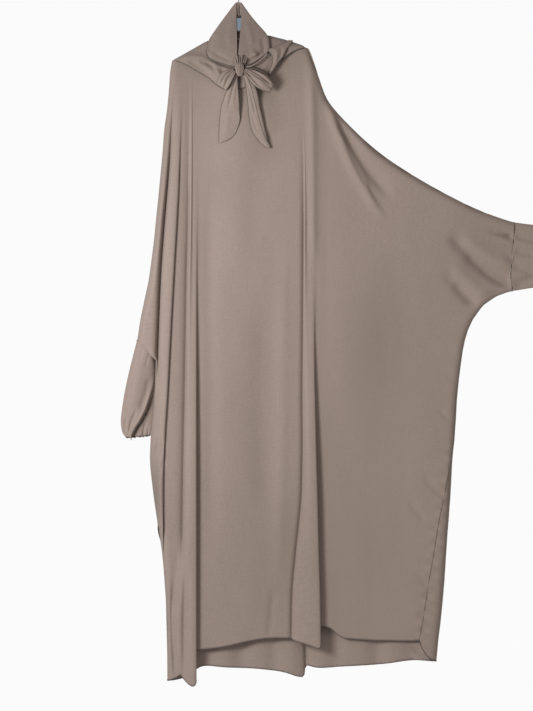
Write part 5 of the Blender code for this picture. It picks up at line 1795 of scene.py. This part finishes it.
# Borders, whose near-black colour also paints the shadow lines above and below the label: name,
# top, bottom
LABEL_BORDERS = (("upper", -86, -91.5), ("lower", -121.5, -124.5), ("tab", -139.5, -142.5))
BORDER_HALF_WIDTH = 8.4
BORDER_BACK = 1.2
LABEL_MIDDLE = 2.6


def label_strip(top, bottom, half_width, back, bow=0.4):
    """A small strip of ribbon just behind the hood's slit."""
    heights = np.linspace(top, bottom, 14)[:, None]
    out = read_column(HOOD_SECTIONS, 5, heights) - back
    part = np.linspace(-1, 1, 13)
    y = bow * part**2 - out
    return fill_grid(LABEL_MIDDLE + half_width * part, y, heights + 0.3 * part)


# Creases of the hood's inner layer, which shows through the slit
INNER_CREASES = (
    (2.2, 1.6, 1.8, (0, -56), (2, -66), (1, -76), (3, -86)),
    (-2.4, 1.4, 1.4, (5, -58), (4, -70), (6, -84)),
    (1.8, 1.6, 1.6, (4, -142), (3.4, -160), (2.6, -186)),
)
# Columns: height, left edge, right edge, depth
INNER_LAYER = (
    (-53.5, -2.2, 6.4, 3.4), (-60, -5, 10.5, 3.6), (-90, -7, 12, 6), (-130, -6, 10, 11),
    (-165, -4, 7, 18), (-192, -3, 6, 24),
)


def inner_layer():
    """The hood's inner layer behind the slit."""
    height, left, right, out = fine_table(INNER_LAYER, 90).T[..., None]
    x = left + (right - left) * np.linspace(0, 1, 25)
    height = np.broadcast_to(height, x.shape)
    return fill_grid(x, -out - pressed(INNER_CREASES, x, height), height)


def on_front(line, points):
    """A line, as height and distance from the middle, laid on the front face of a sheet."""
    path = fine_table(heights_first(line), 70)
    front = points[points[..., 1] < 0]
    gaps = np.linalg.norm(front[None][..., (0, 2)] - path[:, None], axis=2)
    out = front[gaps.argmin(axis=1), 1]
    out = np.convolve(np.pad(out, 3, mode="edge"), np.ones(7) / 7, mode="valid")
    return fill_grid(path[:, 0], out - 1.0, path[:, 1])


def lowest_row(points):
    """The row of a cowl that makes its lower edge."""
    return int(np.argmin(points[:, points.shape[1] // 2, 2]))


def leaf_edge(points):
    """The outline of a leaf: down its left side and up its right side."""
    right = np.argmax(points[..., 0], axis=1)
    return np.concatenate([points[:, 0], points[np.arange(len(points)), right][::-1]])


# Putting it together

ROW_SPACING = 7.9
FRONT_SPACING = 7.4
BACK_SPACING = 7.5
STITCH_ROW = -4
# Leaves of cloth: name, node, sections, creases, how it is held
LEAVES = (
    ("cowl_standing_fold", "cowl_fold_right", NECK_FOLD, NECK_FOLD_CREASES, "folded"),
    ("tie_end_left", "tie_tail_left", LEFT_TAIL, LEFT_TAIL_CREASES, "hung"),
    ("tie_end_right", "tie_tail_right", RIGHT_TAIL, RIGHT_TAIL_CREASES, "folded"),
)
# Loops: side, sections, direction across the band in degrees, phase of its pleats, creases
LOOPS = (
    ("left", LEFT_LOOP, 144, 0.3, LEFT_LOOP_CREASES),
    ("right", RIGHT_LOOP, 62, 0.0, RIGHT_LOOP_CREASES),
)


def sew_panels(crepe, threads):
    rows = fine_rows(ROW_SPACING)
    front = front_panel(rows, FRONT_SPACING)
    sew_sheet("front", front, crepe, "body_front", side=-1)
    back, behind = back_panel(rows, BACK_SPACING)
    sew_sheet("back", back, crepe, "body_back", side=behind)
    for name, points, face in (("front", front, 1), ("back", back, -1)):
        normals = normals_of(points)
        sign = -1 if normals[len(points) // 2, points.shape[1] // 2, 1] * face > 0 else 1
        inward = unit(points[-3] - points[-1])
        edge = points[-1], inward, normals[-1] * sign
        # Dark overlock, also a painted shadow line along the hem
        overlock(f"{name}_hem_overlock", *edge, threads["overlock_and_edge_shadow_thread"])
        topstitch(f"{name}_hem_stitches", points, STITCH_ROW, threads["seam_thread"], sign)
    low = front[:, -1, 2] < SIDE_SEAM_TOP
    # Dark rolled seam, also a painted shadow line along the side seam
    round_bar("side_seam_roll", front[low, -1] + (0.5, -0.7, 0), threads["rolled_edge_and_shadow_line_thread"], 0.55)


def sew_sleeves(crepe, threads):
    ends = {"left": left_sleeve(), "right": right_sleeve()}
    for side, points in ends.items():
        sew_sheet(f"{side}_sleeve_end", points, crepe, f"sleeve_end_{side}", ring=True)
    for side, points in ends.items():
        if side == "left":
            slipped = on_front(SLIPPED_EDGE, points)
            # Dark roll, also a painted shadow line at the slipped edge
            round_bar("slipped_edge_roll", slipped, threads["rolled_edge_and_shadow_line_thread"], 0.9)
        closed = np.concatenate([points, points[:, :1]], axis=1)
        seam = closed[0] - 1.3 * unit(points[2] - points[0]).mean(axis=0)
        seam[:, 1] -= np.sign(seam[:, 1])
        round_bar(f"{side}_sleeve_seam", seam, crepe, 1.7)
        face = normals_of(points, True)[-1]
        if (face * (points[-1] - points[-1].mean(axis=0))).sum() < 0:
            face = -face
        inward = unit(closed[-4] - closed[-1])
        face = np.concatenate([face, face[:1]])
        # Dark overlock, also a painted shadow line round the cuff
        overlock(f"{side}_cuff_overlock", closed[-1], inward, face, threads["overlock_and_edge_shadow_thread"])
    round_bar("underarm_seam_end", UNDERARM_SEAM_END, crepe, 1.8)
    thread = on_front(CUFF_SEAM_THREAD, ends["right"]) - (0, 1.6, 0)
    round_bar("cuff_seam_thread", thread, threads["pale_thread"], 0.5)


def sew_hood(crepe, threads):
    for side, away in (("left", -0.9), ("right", 0.9)):
        points = hood_half(side)
        sew_sheet(f"hood_{side}_half", points, crepe, f"hood_{side}")
        edge = points[1:-1, 0] + (away, 0.5, 0)
        round_bar(f"hood_{side}_rolled_edge", edge, crepe, 1.0, 10, 0.4, 0.06)
        foot = points[-1][points[-1][:, 1] < -8]
        # Dark roll, also a painted shadow line under the hood's foot
        round_bar(f"hood_{side}_foot_roll", foot, threads["rolled_edge_and_shadow_line_thread"], 1.4)
    sew_sheet("hood_inner_layer", inner_layer(), crepe, wall=0.6)
    for side, table, creases in (
        ("left", LEFT_COWL, LEFT_COWL_CREASES), ("right", RIGHT_COWL, RIGHT_COWL_CREASES),
    ):
        points = cowl(table, creases)
        sew_sheet(f"cowl_{side}_side", points, crepe, f"cowl_{side}", side=-1)
        edge = points[lowest_row(points)]
        # Dark rolled edge, also a painted shadow line under the cowl
        round_bar(f"cowl_{side}_rolled_edge", edge, threads["rolled_edge_and_shadow_line_thread"], 1.3)


def sew_tie(crepe, threads):
    # Dark rolled edges, also painted shadow lines round the tie and the bow
    thread = threads["rolled_edge_and_shadow_line_thread"]
    for name, node, table, creases, held in LEAVES:
        points = leaf(table, creases)
        sew_sheet(name, points, crepe, node)
        round_bar(f"{name}_rolled_edge", leaf_edge(points), thread)
        if held == "folded":
            round_bar(f"{name}_turned_edge", points[:, -1] - (0, 0.4, 0), thread, 0.6)
    for side, *shape in LOOPS:
        points = loop(*shape)
        sew_sheet(f"bow_{side}", points, crepe, f"tie_loop_{side}")
        for label, row in (("upper", 0), ("lower", -1)):
            round_bar(f"bow_{side}_{label}_rolled_edge", points[row], thread, 0.75)
    sew_sheet("neck_gathers", gathers(), crepe, "tie_gathers")
    knot(crepe)
    sew_sheet("tie_ribbon", tie_band(), crepe, "tie_band_right", ring=True, wall=0.5)


def sew_label(ribbon, border):
    strip = label_strip(*LABEL_HEIGHTS, LABEL_HALF_WIDTH, LABEL_BACK)
    sew_sheet("blank_label", strip, ribbon, "label", wall=0.5)
    for name, top, bottom in LABEL_BORDERS:
        strip = label_strip(top, bottom, BORDER_HALF_WIDTH, BORDER_BACK)
        sew_sheet(f"label_{name}_border", strip, border, wall=0.4)


def main():
    set_camera()
    set_light()
    lay_floor()
    weave = make_crepe_weave()
    shade = make_soft_shade()
    crepe = crepe_finish("crepe", weave, shade, make_painted_shade_clouds())
    threads = {name: thread_finish(name, colour, shade) for name, colour in THREADS.items()}
    ribbon = label_finish("label_cloth", LABEL_CLOTH_WITH_PAINTED_SHADE, shade, weave)
    border = label_finish("label_border_and_shadow", LABEL_BORDER_AND_SHADOW, shade, weave)
    sew_panels(crepe, threads)
    sew_sleeves(crepe, threads)
    sew_hood(crepe, threads)
    sew_tie(crepe, threads)
    sew_label(ribbon, border)
    finishes = {"hanger_hook": wire_finish(shade), "hanger_arms": arms_finish(shade)}
    for node, finish in finishes.items():
        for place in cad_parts[node].material_slots:
            place.material = finish


main()
